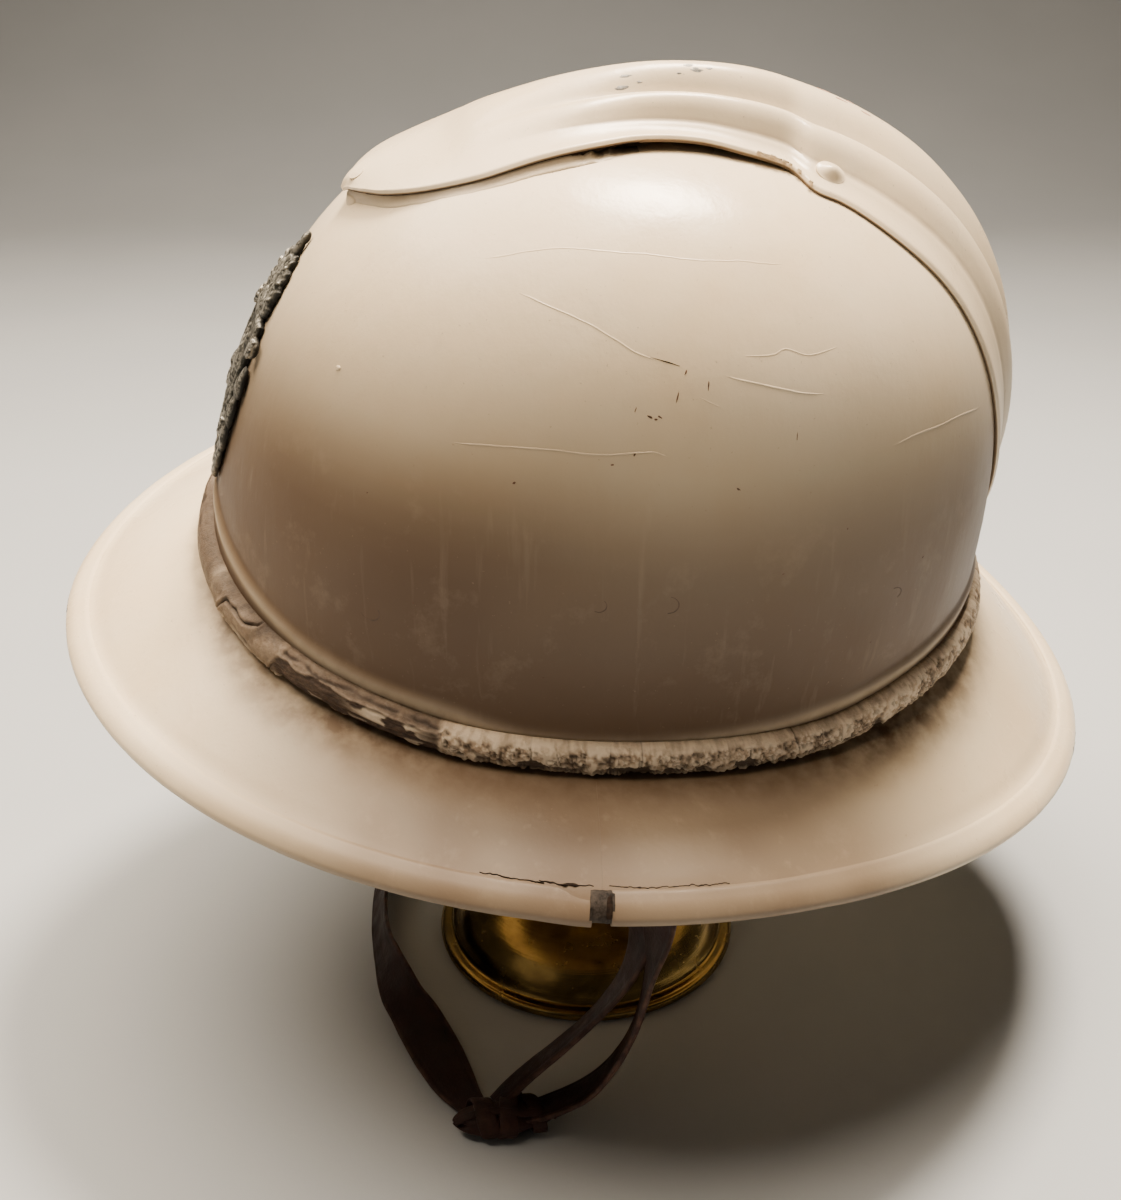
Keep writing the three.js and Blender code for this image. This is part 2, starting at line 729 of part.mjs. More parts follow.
// The fan of petals over the shield, with its middle leaf and top bead.
function fanSolids() {
  const fanY = badge.shieldDrop + badge.shieldHeight / 2 + 1;
  const petals = Array.from({ length: badge.petals }, (_, i) => {
    const lean = (i / (badge.petals - 1) - 0.5) * 150;
    const reach = 9.5 - Math.abs(lean) / 40;
    const x = -Math.sin(radians(lean)) * reach;
    const y = fanY + Math.cos(radians(lean)) * reach;
    return leafSolid(17 - Math.abs(lean) / 15, 5.4, 2.4, x, y, lean);
  });
  return [...petals, leafSolid(8, 12, 3, 0, fanY, 0), ball(2.4, 0, fanY + 18, 2)];
}

function badgeGeometry() {
  const dropLeaf = leafSolid(7, 4, 1.8, 0, badge.shieldDrop - badge.shieldHeight / 2 - 3, 0);
  const solids = [shieldSolid(), ...wreathSolids(-1), ...wreathSolids(1), ...fanSolids(), dropLeaf];
  const flat = fromManifold(Manifold.union(solids).trimByPlane([0, 0, 1], 0));
  const divided = new TessellateModifier(badge.facet, 12).modify(joined(flat));
  const bent = movePoints(joined(divided), (vertex) => {
    const angle = badge.middleAngle + THREE.MathUtils.radToDeg(vertex.y / badge.bendRadius);
    const { point, outward } = domeAt(0, angle);
    const height = gap + vertex.z;
    vertex.set(vertex.x * badge.narrowing, point.y, point.z).addScaledVector(outward, height);
  });
  return fromManifold(toManifold(bent));
}

// ---------------------------------------------------------------- strap lugs
function lugGeometry() {
  const rectangle = (halfWidth, low, high, target) => {
    target.moveTo(-halfWidth, low);
    target.lineTo(halfWidth, low);
    target.lineTo(halfWidth, high);
    target.lineTo(-halfWidth, high);
    target.closePath();
    return target;
  };
  const plate = rectangle(lug.width / 2, lug.bottom, lug.top, new THREE.Shape());
  const slotLow = lug.bottom + lug.bar;
  plate.holes.push(rectangle(lug.slotWidth / 2, slotLow, slotLow + lug.slotHeight, new THREE.Path()));
  const geometry = new THREE.ExtrudeGeometry(plate, { depth: lug.thickness, bevelEnabled: false });
  const acrossToY = new THREE.Matrix4().makeBasis(
    new THREE.Vector3(0, 1, 0),
    new THREE.Vector3(0, 0, 1),
    new THREE.Vector3(1, 0, 0),
  );
  return geometry.applyMatrix4(acrossToY);
}

function lugMesh(name, side) {
  const mesh = piece(name, lugGeometry(), lugSteel);
  mesh.position.set(side * (lug.faceX - lug.thickness / 2) - lug.thickness / 2, lug.middleY, 0);
  return mesh;
}

// ---------------------------------------------------------------- chin strap
// The strap's turn over a lug's bar, as route rows in the row frame.
function lugTurn(side) {
  const barX = side * (lug.faceX - lug.thickness / 2);
  const bar = new THREE.Vector3(barX, lug.middleY, lug.bottom + lug.bar / 2);
  bar.applyMatrix4(helmet.matrixWorld);
  return [0, 45, 90, 135, 180].map((degrees) => ({
    x: bar.x - side * strap.turnRadius * Math.cos(radians(degrees)),
    y: bar.y,
    z: bar.z + strap.turnRadius * Math.sin(radians(degrees)),
    yaw: 0,
    roll: 0,
    share: 1,
  }));
}

function ribbonGeometry(route) {
  const stepsPerRow = 3;
  const points = route.map(({ x, y, z }) => new THREE.Vector3(x, y, z));
  const curve = new THREE.CatmullRomCurve3(points, false, 'centripetal');
  const rows = route.map((row, place) => ({ ...row, place }));
  const sections = turnsBetween(0, rows.length - 1, (rows.length - 1) * stepsPerRow).map((place) => {
    const value = (key) => tableValue(rows, 'place', key, place);
    const middle = curve.getPoint(place / (rows.length - 1));
    const along = curve.getTangent(place / (rows.length - 1));
    const yaw = radians(value('yaw'));
    const across = new THREE.Vector3(Math.sin(yaw), Math.cos(yaw), 0);
    across.addScaledVector(along, -along.dot(across)).normalize();
    across.applyAxisAngle(along, radians(value('roll')));
    const face = new THREE.Vector3().crossVectors(along, across);
    const corner = (out, up) => middle
      .clone()
      .addScaledVector(across, (out * value('share') * strap.width) / 2)
      .addScaledVector(face, (up * strap.thickness) / 2);
    return [corner(-1, 1), corner(1, 1), corner(1, -1), corner(-1, -1)];
  });
  return loft(sections);
}

function knotGeometry(grow) {
  return movePoints(new THREE.SphereGeometry(1, 20, 12), (vertex) => {
    const fullness = 1.12 - 0.22 * Math.cos(vertex.y * Math.PI * 2);
    vertex.set(
      knot.x + vertex.x * (knot.halfDepth * fullness + grow),
      knot.y + vertex.y * (knot.halfLength + grow),
      knot.z + vertex.z * (knot.halfHeight + grow),
    );
  });
}

function strapGeometry(route) {
  return fromManifold(toManifold(ribbonGeometry(route)).subtract(toManifold(knotGeometry(gap))));
}

function nearRoute() {
  return [...nearInner, ...lugTurn(1), ...nearOuter];
}

function farRoute() {
  const turn = lugTurn(-1);
  const end = turn.at(-1);
  const tail = { ...end, x: end.x - 1, z: end.z - strap.tail };
  return [tail, ...turn.reverse(), ...farRun];
}

// --------------------------------------------------------------------- stand
function footGeometry() {
  const { footRadius: radius, footHeight: height } = stand;
  const profile = [
    [0, 0],
    [radius - 1.2, 0],
    [radius, 1],
    [radius, 2.4],
    [radius - 1.4, 3.4],
    [radius - 3.6, 3.4],
    [radius - 4.6, 4.6],
    [radius - 7.5, 9.5],
    [radius - 13, 14.5],
    [radius - 22, 18.8],
    [radius - 33, 21.6],
    [radius - 37.5, 23.4],
    [radius - 38.5, height],
    [0, height],
  ].map(([out, up]) => new THREE.Vector2(out, up));
  return new THREE.LatheGeometry(profile, 48).rotateX(Math.PI / 2);
}

function poleGeometry() {
  const low = stand.footHeight + gap / 3;
  const high = stand.capTop - stand.capRoundness / 2 - gap / 3;
  const pole = new THREE.CylinderGeometry(stand.poleRadius, stand.poleRadius, high - low, 24);
  return pole.rotateX(Math.PI / 2).translate(0, 0, (low + high) / 2);
}

function capGeometry() {
  const { capRadius, capRoundness } = stand;
  const profile = [new THREE.Vector2(0, -capRoundness / 2), new THREE.Vector2(8, -capRoundness / 2)];
  const edgeAngle = Math.asin(capRadius / capRoundness);
  const steps = 6;
  for (let i = 0; i <= steps; i += 1) {
    const angle = edgeAngle * (1 - i / steps);
    const out = i === steps ? 0 : capRoundness * Math.sin(angle);
    profile.push(new THREE.Vector2(out, capRoundness * (Math.cos(angle) - 1)));
  }
  return new THREE.LatheGeometry(profile, 32).rotateX(Math.PI / 2).translate(0, 0, stand.capTop);
}

// ------------------------------------------------------------------ assembly
const helmet = new THREE.Group();
helmet.position.set(seat.x, seat.y, seat.z);
helmet.rotation.set(radians(seat.pitchDeg), radians(seat.leanDeg), 0, 'XYZ');
helmet.updateMatrixWorld();
helmet.add(
  piece('skull', skullGeometry(), ivoryPaint),
  piece('front_visor', visorGeometry(), ivoryPaint),
  piece('neck_guard', neckGuardGeometry(), ivoryPaint),
  piece('brim_edging', edgingGeometry(), ivoryPaint),
  piece('joint_welt', weltGeometry(), weltPaint),
  piece('crest', crestGeometry(), ivoryPaint),
  rivetMesh('crest_rivet_front', rivet.frontAngle, 0),
  rivetMesh('crest_rivet_rear', rivet.rearAngle, 0),
  rivetMesh('crest_rivet_left', rivet.sideAngle, rivet.sideOut),
  rivetMesh('crest_rivet_right', rivet.sideAngle, -rivet.sideOut),
  piece('front_badge', badgeGeometry(), badgeMetal),
  lugMesh('strap_lug_left', 1),
  lugMesh('strap_lug_right', -1),
);

const part = new THREE.Group();
part.add(
  helmet,
  piece('chin_strap_near', strapGeometry(nearRoute()), strapLeather),
  piece('chin_strap_far', strapGeometry(farRoute()), strapLeather),
  piece('chin_strap_knot', joined(knotGeometry(0)), strapLeather),
  piece('stand_foot', footGeometry(), standBrass),
  piece('stand_pole', poleGeometry(), standBrass),
  piece('stand_cap', capGeometry(), standBrass),
);

export default part;
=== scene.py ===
"""Looks of the Adrian helmet on its stand: smooth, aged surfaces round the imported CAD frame.

Shapes are worked out in millimetres in the helmet's own frame (origin in the middle of its
joint line, front towards -Y, left side +X) and then seated as the helmet leans on its stand.
"""
import functools
import math

import bpy
import numpy as np
from mathutils import Matrix, Vector


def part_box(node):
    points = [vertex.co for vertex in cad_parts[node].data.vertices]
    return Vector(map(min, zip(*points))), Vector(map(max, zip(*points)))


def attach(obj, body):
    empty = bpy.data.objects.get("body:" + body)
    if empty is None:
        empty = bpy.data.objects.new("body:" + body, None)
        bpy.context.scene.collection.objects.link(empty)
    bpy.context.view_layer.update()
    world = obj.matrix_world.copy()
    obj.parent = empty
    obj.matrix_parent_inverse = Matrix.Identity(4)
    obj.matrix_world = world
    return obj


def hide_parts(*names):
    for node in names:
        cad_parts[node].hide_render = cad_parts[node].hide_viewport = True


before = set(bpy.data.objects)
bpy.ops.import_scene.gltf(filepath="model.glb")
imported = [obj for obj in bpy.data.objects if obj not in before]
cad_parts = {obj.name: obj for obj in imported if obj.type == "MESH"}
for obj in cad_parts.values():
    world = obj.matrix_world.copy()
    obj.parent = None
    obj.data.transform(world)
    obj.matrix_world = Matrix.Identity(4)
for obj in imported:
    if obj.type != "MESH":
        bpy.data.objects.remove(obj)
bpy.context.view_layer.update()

MM = 0.001
UP = np.array([0.0, 0.0, 1.0])
MARK_SHARP = 50         # degrees between faces over which an edge of a mark stays sharp

# ------------------------------------------------------------------ dimensions, in millimetres
SEAT = {"place": (-9.0, 3.0, 129.8), "pitch": -3.7, "lean": 11.6}
SHEET = 1.0
DOME = {
    "half_width": 90.0, "front": 105.8, "rear": 105.3, "height": 119.1, "top_shift": -3.2,
    "outline_power": 2.15, "reach_power": 2.6, "front_power": 1.74, "rear_power": 3.18,
    "skirt": 4.2,
}
RIM = {
    "half_width": 129.8, "front": 146.8, "rear": 151.0, "power": 1.91,
    "side_z": -11.5, "front_z": -16.2, "rear_z": -35.3, "seam_y": -15.5,
}
EDGE_LINE = [(7.4, 3.1), (4.8, 2.2), (2.6, 0.9), (1.1, -0.8)]      # inward from the rim, up
EDGE_SLOPE = 0.346      # of the sheet between the first two rows of that line
# The gap between the edging's ends, its width on and under the sheet, the radius of its rolled
# edge, and how far its inner skin lies from the sheet's middle.
EDGING = {"gap_width": 4.0, "top_width": 6.1, "under_width": 5.2, "roll": 1.75, "inner": 0.54}
WELT = {"height": 7.8, "depth": 4.2, "lift": -0.1, "clearance": 0.3}
DOME_DEGREE = math.radians(1) * DOME["half_width"]      # millimetres round the dome
WELT_FOOT = WELT["lift"] - WELT["height"] / 2           # from the joint line
JOINT_CLIMB = 0.85      # the share of the welt's climb that the skull and the brim follow
JOINT_RADIUS = 98.0     # for distances along the joint
# Heights over the joint line by the angle from the side, towards the front and the rear.
WELT_TOP = {
    "front": ([0, 12, 25, 33, 40, 50, 60, 70, 80, 90],
              [3.8, 4, 4.8, 6.4, 7.7, 9.2, 11.2, 13.2, 14.4, 14.6]),
    "rear": ([0, 20, 27, 34, 41, 50, 62, 76, 90],
             [3.8, 3.9, 4.9, 7, 8.8, 9.8, 10.8, 11.6, 11.8]),
}
SHOULDER_TOP = {
    "front": ([0, 14, 20, 25, 35, 45, 50, 55, 60, 68, 79, 90],
              [5, 5.4, 7, 9, 10.8, 12.8, 14.4, 16.2, 18, 20.5, 22.5, 22.5]),
    "rear": ([0, 18, 25, 30, 35, 40, 52, 65, 90],
             [5, 7.5, 9.5, 10.6, 12.2, 13.5, 16.2, 18, 19]),
}
LOWEST_WELT = WELT_TOP["front"][1][0]
CREST_PIVOT = (4.0, 20.0)       # the place along and up that the crest's angles turn about
# Heights by shares of the half width, with the ribs and without them.
CREST_SECTION = (
    [0, 0.08, 0.16, 0.24, 0.31, 0.345, 0.36, 0.385, 0.43, 0.5, 0.57, 0.63, 0.675, 0.69, 0.715,
     0.77, 0.85, 1],
    [1, 0.975, 0.9, 0.77, 0.62, 0.545, 0.525, 0.56, 0.575, 0.53, 0.42, 0.28, 0.17, 0.135, 0.13,
     0.075, 0.025, 0],
)
CREST_PLAIN = ([0, 0.2, 0.4, 0.6, 0.8, 1], [1, 0.86, 0.56, 0.28, 0.08, 0])
CREST_LIFT = 1.3                # of the crest's skin over the dome's where it is not raised
# By the angle from upright: the crest's half width, its ridge's rise, the gap under its edges.
CREST = {
    "angle": [-43, -42.2, -41.4, -40.2, -37.6, -33.5, -29, -24.5, -18, -11, -4, 3, 9, 13.8, 15.8,
              18.2, 22, 31, 42, 54, 66, 76, 84, 88, 90.5],
    "half_width": [1, 3.2, 6.2, 10.3, 17, 22.3, 25.3, 26.8, 25.5, 23, 19.4, 18.5, 20.3, 21.1, 22.5,
                   28.4, 29.8, 34.2, 36.3, 37.6, 36.6, 33, 25.5, 16, 4],
    "rise": [0.3, 0.8, 1.2, 1.3, 0.8, 0.4, 0.7, 3, 5.2, 7.6, 10, 11.3, 12, 12.3, 12.3, 12.2, 11.8,
             10.7, 9.6, 8.9, 8.2, 6.4, 3.6, 1.5, 0.9],
    "vent": [2.2, 2.5, 2.5, 2.4, 1.9, 1, 0.6, 0.9, 1.3, 1.7, 1.8, 1.7, 1.3, 0.7, 0.4, 0.15, 0.15,
             0.15, 0.15, 0.15, 0.15, 0.15, 0.15, 0.15, 0.15],
}


# ------------------------------------------------------------------ helpers: places and numbers
def turned(degrees, axis):
    return Matrix.Rotation(math.radians(degrees), 4, axis)


SEAT_MATRIX = np.array(
    Matrix.Translation(SEAT["place"]) @ turned(SEAT["pitch"], "X") @ turned(SEAT["lean"], "Y")
)


def seated(points):
    """Helmet-frame points (..., 3) in millimetres, as row-frame points in metres."""
    return (points @ SEAT_MATRIX[:3, :3].T + SEAT_MATRIX[:3, 3]) * MM


def full_circle(count):
    """Evenly spaced angles once round."""
    return np.linspace(0, 2 * np.pi, count, endpoint=False)


def smoothstep(low, high, value):
    t = np.clip((value - low) / (high - low), 0.0, 1.0)
    return t * t * (3 - 2 * t)


def signed_power(value, power):
    return np.sign(value) * np.abs(value) ** power


def unit(vectors):
    return vectors / np.maximum(np.linalg.norm(vectors, axis=-1, keepdims=True), 1e-12)


def table_value(places, values, at):
    """Smooth value at a place in a table, by cubic pieces through its rows."""
    x, y = np.asarray(places, float), np.asarray(values, float)
    i = np.clip(np.searchsorted(x, at) - 1, 0, len(x) - 2)
    slope = np.empty_like(y)
    slope[1:-1] = (y[2:] - y[:-2]) / (x[2:] - x[:-2])
    slope[0] = (y[1] - y[0]) / (x[1] - x[0])
    slope[-1] = (y[-1] - y[-2]) / (x[-1] - x[-2])
    span = x[i + 1] - x[i]
    t = np.clip((at - x[i]) / span, 0, 1)
    rise = t * t * (3 - 2 * t)
    bend = t * (1 - t) ** 2 * slope[i] - t * t * (1 - t) * slope[i + 1]
    return y[i] + (y[i + 1] - y[i]) * rise + span * bend


def degrees_from_side(turn):
    """Angles of 0 to 90 from the nearer side towards the front or the rear."""
    return np.degrees(np.arcsin(np.clip(np.abs(np.sin(turn)), 0, 1)))


def side_value(tables, turn):
    """A value at turns from its two tables by the angle from the side."""
    from_side = degrees_from_side(turn)
    front = table_value(*tables["front"], from_side)
    return np.where(np.sin(turn) < 0, front, table_value(*tables["rear"], from_side))


# Large odd numbers that scatter a cell's place over the whole numbers below the mask.
CELL_FACTORS = np.array([73856093, 19349663, 83492791])
SCATTER = ((13, 1274126177), (15, 668265263))
MASK = 0x7FFFFFFF


def scattered(key, rounds):
    """Whole numbers that look random and are the same for the same key."""
    for shift, factor in SCATTER[:rounds]:
        key = ((key ^ (key >> shift)) * factor) & MASK
    return key


def lattice_noise(points, size, seed):
    """Smooth noise in -1..1, about one bump every `size` of the points' unit."""
    scaled = np.asarray(points) / size
    cell = np.floor(scaled).astype(np.int64)
    share = scaled - cell
    share = share * share * (3 - 2 * share)
    total = np.zeros(scaled.shape[:-1])
    for corner in np.ndindex(2, 2, 2):
        key = scattered((cell + np.array(corner)) @ CELL_FACTORS + seed * 977, 2)
        value = ((key >> 7) & 0xFFFF) / 32767.5 - 1
        weight = np.prod(np.where(np.array(corner) == 1, share, 1 - share), axis=-1)
        total += value * weight
    return total


def layered_noise(points, size, layers, seed):
    """Noise in layers of halving size and height, in -1..1."""
    total = sum(lattice_noise(points, size / 2 ** k, seed + k) / 2 ** k for k in range(layers))
    return total / (2 - 0.5 ** (layers - 1))


def noise_shift(points, size, layers, seed):
    """Smooth noise of its own along each axis."""
    return np.stack([layered_noise(points, size, layers, seed + k) for k in range(3)], -1)


def noise_spot(at, beside, level=0.0):
    """Places in noise by distances along a line and beside it."""
    return np.stack(np.broadcast_arrays(at, beside, level), -1)


def run_along(points):
    """Distances along a line of points from its first."""
    steps = np.linalg.norm(np.diff(points, axis=0), axis=1)
    return np.concatenate([[0], np.cumsum(steps)])


def cubic_piece(t, start, end, start_slope, end_slope):
    """The smooth way from start to end that leaves and arrives with the slopes."""
    return (
        (2 * t ** 3 - 3 * t ** 2 + 1) * start + (t ** 3 - 2 * t ** 2 + t) * start_slope
        + (3 * t ** 2 - 2 * t ** 3) * end + (t ** 3 - t ** 2) * end_slope
    )


# ------------------------------------------------------------------ helpers: meshes
def grid_faces(rows, columns, wrap_rows=False, wrap_columns=False):
    """Faces with four corners over a grid of points that is stored row by row."""
    r = np.arange(rows if wrap_rows else rows - 1)
    c = np.arange(columns if wrap_columns else columns - 1)
    r, c = np.meshgrid(r, c, indexing="ij")
    r2, c2 = (r + 1) % rows, (c + 1) % columns
    quads = np.stack([r * columns + c, r * columns + c2, r2 * columns + c2, r2 * columns + c], -1)
    return quads.reshape(-1, 4)


def fan_faces(middle, ring):
    """Faces with three corners from a middle point to a ring of points."""
    ring = np.asarray(ring)
    return np.stack([np.full(len(ring), middle), ring, np.roll(ring, -1)], -1)


def oval_plan(outward, along, half_length, half_width, sides):
    """Points of an oval about its own middle, in the plane across outward."""
    angles = full_circle(sides)
    level = along * (np.cos(angles) * half_length)[:, None]
    return level + np.cross(outward, along) * (np.sin(angles) * half_width)[:, None]


def ring_solid(rings, first, last):
    """Points and faces of a solid through rings (rows, points, 3) and a point at each end."""
    rings = np.asarray(rings)
    rows, columns = rings.shape[:2]
    count = rows * columns
    points = np.vstack([rings.reshape(-1, 3), [first], [last]])
    return points, [
        grid_faces(rows, columns, wrap_columns=True),
        fan_faces(count, np.arange(columns)[::-1]),
        fan_faces(count + 1, np.arange(count - columns, count)),
    ]


def loft_mesh(sections, thin=False):
    """Points and faces of a solid through closed sections (rows, points, 3).

    Thin sections run out along one side of a sheet and back along the other.
    """
    if not thin:
        return ring_solid(sections, sections[0].mean(0), sections[-1].mean(0))
    rows, columns = sections.shape[:2]
    i = np.arange(columns // 2 - 1)
    cap = np.stack([i, i + 1, columns - 2 - i, columns - 1 - i], -1)
    sides = grid_faces(rows, columns, wrap_columns=True)
    return sections.reshape(-1, 3), [sides, cap[:, ::-1], cap + (rows - 1) * columns]


def facing_out(points, faces):
    """The faces, turned round where the solid that they close came out inside out."""
    points = points.reshape(-1, 3) - points.reshape(-1, 3).mean(0)
    volume = 0.0
    for group in faces:
        corners = points[group]
        for k in range(1, group.shape[1] - 1):
            volume += np.sum(corners[:, 0] * np.cross(corners[:, k], corners[:, k + 1]))
    return [group[:, ::-1] for group in faces] if volume < 0 else faces


def joined_meshes(parts):
    """Several (points, faces) as one."""
    points, faces, count = [], [], 0
    for part_points, part_faces in parts:
        points.append(part_points)
        faces.extend(f + count for f in facing_out(part_points, part_faces))
        count += len(part_points)
    return np.vstack(points), faces


def raw_mesh(name, points, faces):
    """A mesh from points and groups of faces; a group has one number of corners."""
    points = np.asarray(points, np.float32).reshape(-1, 3)
    corners = np.concatenate([f.ravel() for f in faces])
    sizes = np.concatenate([np.full(len(f), f.shape[1]) for f in faces])
    mesh = bpy.data.meshes.new(name)
    mesh.vertices.add(len(points))
    mesh.vertices.foreach_set("co", points.ravel())
    mesh.loops.add(len(corners))
    mesh.loops.foreach_set("vertex_index", corners.astype(np.int32))
    mesh.polygons.add(len(sizes))
    starts = np.concatenate([[0], np.cumsum(sizes)[:-1]])
    mesh.polygons.foreach_set("loop_start", starts.astype(np.int32))
    mesh.update(calc_edges=True)
    mesh.validate()
    return mesh


def mesh_piece(name, points, faces, material, replaces=(), values=None, sharp=None):
    """An object from row-frame points in metres; values are numbers kept on its points."""
    mesh = raw_mesh(name, points, facing_out(points, faces))
    for key, array in (values or {}).items():
        attribute = mesh.attributes.new(key, "FLOAT", "POINT")
        attribute.data.foreach_set("value", np.asarray(array, np.float32).ravel())
    mesh.polygons.foreach_set("use_smooth", [True] * len(mesh.polygons))
    if sharp:
        mesh.set_sharp_from_angle(angle=math.radians(sharp))
    mesh.materials.append(material)
    obj = bpy.data.objects.new(name, mesh)
    bpy.context.scene.collection.objects.link(obj)
    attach(obj, "root")
    if replaces:
        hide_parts(*replaces)


def painted_piece(name, points, faces, values, sharp):
    """A painted piece of the helmet that stands for the CAD node of its name."""
    mesh_piece(name, seated(points), faces, ivory_paint(), [name], values, sharp)


def paint_marks(name, parts, material, painted_shade=0.0, sharp=MARK_SHARP):
    """One piece of many small marks, darkened by a share of the dome's painted shade."""
    points, faces = joined_meshes(parts)
    values = {"painted_shade": painted_shade * dome_painted_shade(points)} if painted_shade else None
    mesh_piece(name, seated(points), faces, material, values=values, sharp=sharp)


# ------------------------------------------------------------------ lines of the helmet
def front_rear_power(along):
    """The power of the dome's upright section, from its front round to its rear."""
    share = (along + 1) / 2
    return DOME["front_power"] + (DOME["rear_power"] - DOME["front_power"]) * share


def dome_points(turn, up, outset=0.0):
    """The dome at turns round it (0 on the left side, then by the rear) and shares of its height."""
    across, along = np.cos(turn), np.sin(turn)
    power = DOME["outline_power"]
    outline = (np.abs(across) ** power + np.abs(along) ** power) ** (-1 / power)
    inwards = np.maximum(1 - np.clip(up, 0, 1) ** front_rear_power(along), 0)
    reach = outline * inwards ** (1 / DOME["reach_power"])
    depth = np.where(along < 0, DOME["front"], DOME["rear"]) + outset
    x = (DOME["half_width"] + outset) * reach * across
    y = depth * reach * along + DOME["top_shift"] * up
    return np.stack([x, y, (DOME["height"] + outset) * up], -1)


def dome_level(points):
    """Below 0 inside the dome and above 0 outside it."""
    x, y, z = points[..., 0], points[..., 1], points[..., 2]
    up = np.maximum(z, 0) / DOME["height"]
    middle = y - DOME["top_shift"] * up
    across = np.abs(x) / DOME["half_width"]
    along = middle / np.where(middle < 0, DOME["front"], DOME["rear"])
    power = DOME["outline_power"]
    reach = (across ** power + np.abs(along) ** power) ** (1 / power)
    rear = along / np.maximum(np.hypot(across, along), 1e-9)
    return reach ** DOME["reach_power"] + up ** front_rear_power(rear) - 1


def dome_outward(points, step=0.5):
    """Outward directions at points on or near the dome's skin."""
    sides = []
    for axis in range(3):
        shift = np.zeros(3)
        shift[axis] = step
        sides.append(dome_level(points + shift) - dome_level(points - shift))
    return unit(np.stack(sides, -1))


def dome_at(x, angle_degrees):
    """The dome's skin at distances to the side, on rays by their angle from upright."""
    x, angle = np.broadcast_arrays(np.asarray(x, float), np.radians(angle_degrees))
    low, high = np.zeros(x.shape), np.full(x.shape, 200.0)

    def on_ray(reach):
        y = CREST_PIVOT[0] + reach * np.sin(angle)
        return np.stack([x, y, CREST_PIVOT[1] + reach * np.cos(angle)], -1)

    for _ in range(34):
        middle = (low + high) / 2
        inside = dome_level(on_ray(middle)) < 0
        low = np.where(inside, middle, low)
        high = np.where(inside, high, middle)
    return on_ray(low)


def on_dome(turn_degrees, z):
    """Points on the dome at turns in degrees and heights."""
    return dome_points(np.radians(turn_degrees), np.clip(z / DOME["height"], 0, 1))


def plan_outward(points):
    """Outward directions in plan along a line of points that runs with growing turn."""
    along = np.gradient(points, axis=0)
    return unit(np.stack([along[:, 1], -along[:, 0], np.zeros(len(points))], -1))


def rim_points(turn):
    """The brim's outer edge at turns round the helmet."""
    across = signed_power(np.cos(turn), 2 / RIM["power"])
    along = signed_power(np.sin(turn), 2 / RIM["power"])
    front = np.sin(turn) < 0
    depth = np.where(front, RIM["front"], RIM["rear"])
    end_z = np.where(front, RIM["front_z"], RIM["rear_z"])
    z = RIM["side_z"] + (end_z - RIM["side_z"]) * np.sin(turn) ** 2
    return np.stack([RIM["half_width"] * across, depth * along, z], -1)


def rim_outward(turn, step=0.01):
    """Outward directions in plan along the rim."""
    along = rim_points(turn + step) - rim_points(turn - step)
    return unit(np.stack([along[:, 1], -along[:, 0], np.zeros(len(turn))], -1))


def edge_points(turn):
    """The middle of the brim's sheet near its edge, by rows of EDGE_LINE: (turns, rows, 3)."""
    rim, outward = rim_points(turn), rim_outward(turn)
    rows = [rim - outward * inward + np.array([0, 0, up]) for inward, up in EDGE_LINE]
    return np.stack(rows, 1)


def smooth_line(points, samples):
    """Cubic lines through points (lines, rows, 3), by the mean distances between the rows."""
    gaps = np.linalg.norm(np.diff(points, axis=1), axis=-1).mean(0)
    places = np.concatenate([[0], np.cumsum(gaps)])
    slope = np.gradient(points, places, axis=1)
    at = np.linspace(0, places[-1], samples)
    i = np.clip(np.searchsorted(places, at) - 1, 0, len(places) - 2)
    span = (places[i + 1] - places[i])[:, None]
    t = (at[:, None] - places[i][:, None]) / span
    return cubic_piece(t, points[:, i], points[:, i + 1],
                       span * slope[:, i], span * slope[:, i + 1])


def upper_side(lines, outward):
    """Unit directions to the upper side of lines (lines, rows, 3) in planes across the rim."""
    along = np.gradient(lines, axis=1)
    level = np.einsum("ijk,ik->ij", along, outward)
    side = -along[..., 2:3] * outward[:, None, :]
    side[..., 2] = level
    return unit(side)


SEAM_TURN = -math.asin((-RIM["seam_y"] / RIM["front"]) ** (RIM["power"] / 2))


def crest_value(key, angle):
    return table_value(CREST["angle"], CREST[key], angle)


def crest_points(angle, share, depth=0.0):
    """The crest's skin at angles from upright and shares of its half width."""
    skin = dome_at(share * crest_value("half_width", angle), angle)
    ribbed = table_value(*CREST_SECTION, np.abs(share))
    plain = table_value(*CREST_PLAIN, np.abs(share))
    section = plain + (ribbed - plain) * smoothstep(-30, -10, angle)
    lift = CREST_LIFT + crest_value("vent", angle) + section * crest_value("rise", angle) - depth
    return skin + dome_outward(skin) * lift[..., None]


# ------------------------------------------------------------------ skull
def skull_rows():
    """Shares of the dome's height, closer together where the skin turns fast."""
    low = np.arange(0, 26, 0.6) / DOME["height"]
    inwards, mean_power = np.linspace(0.995, 0.0, 76), 2.4
    high = (1 - inwards ** DOME["reach_power"]) ** (1 / mean_power)
    high = high[(high > low[-1] + 0.008) & (high < 1)]
    return np.concatenate([low, high])


def skull_skin(turns, ups, outset):
    """The dome's skin at every pair of a turn and a share of the height."""
    turn, up = np.meshgrid(turns, ups)
    return dome_points(turn, up, outset)


def dented(points):
    """Slight dents and waves of the pressed sheet, as distances outwards."""
    waves = 0.32 * layered_noise(points, 64.0, 2, 3) + 0.05 * lattice_noise(points, 15.0, 9)
    return waves * smoothstep(6, 30, points[..., 2])


def dome_turn(points):
    """Turns round the dome of points near its skin."""
    y = points[..., 1] - DOME["top_shift"] * np.clip(points[..., 2] / DOME["height"], 0, 1)
    depth = np.where(y < 0, DOME["front"], DOME["rear"])
    return np.arctan2(y / depth, points[..., 0] / DOME["half_width"])


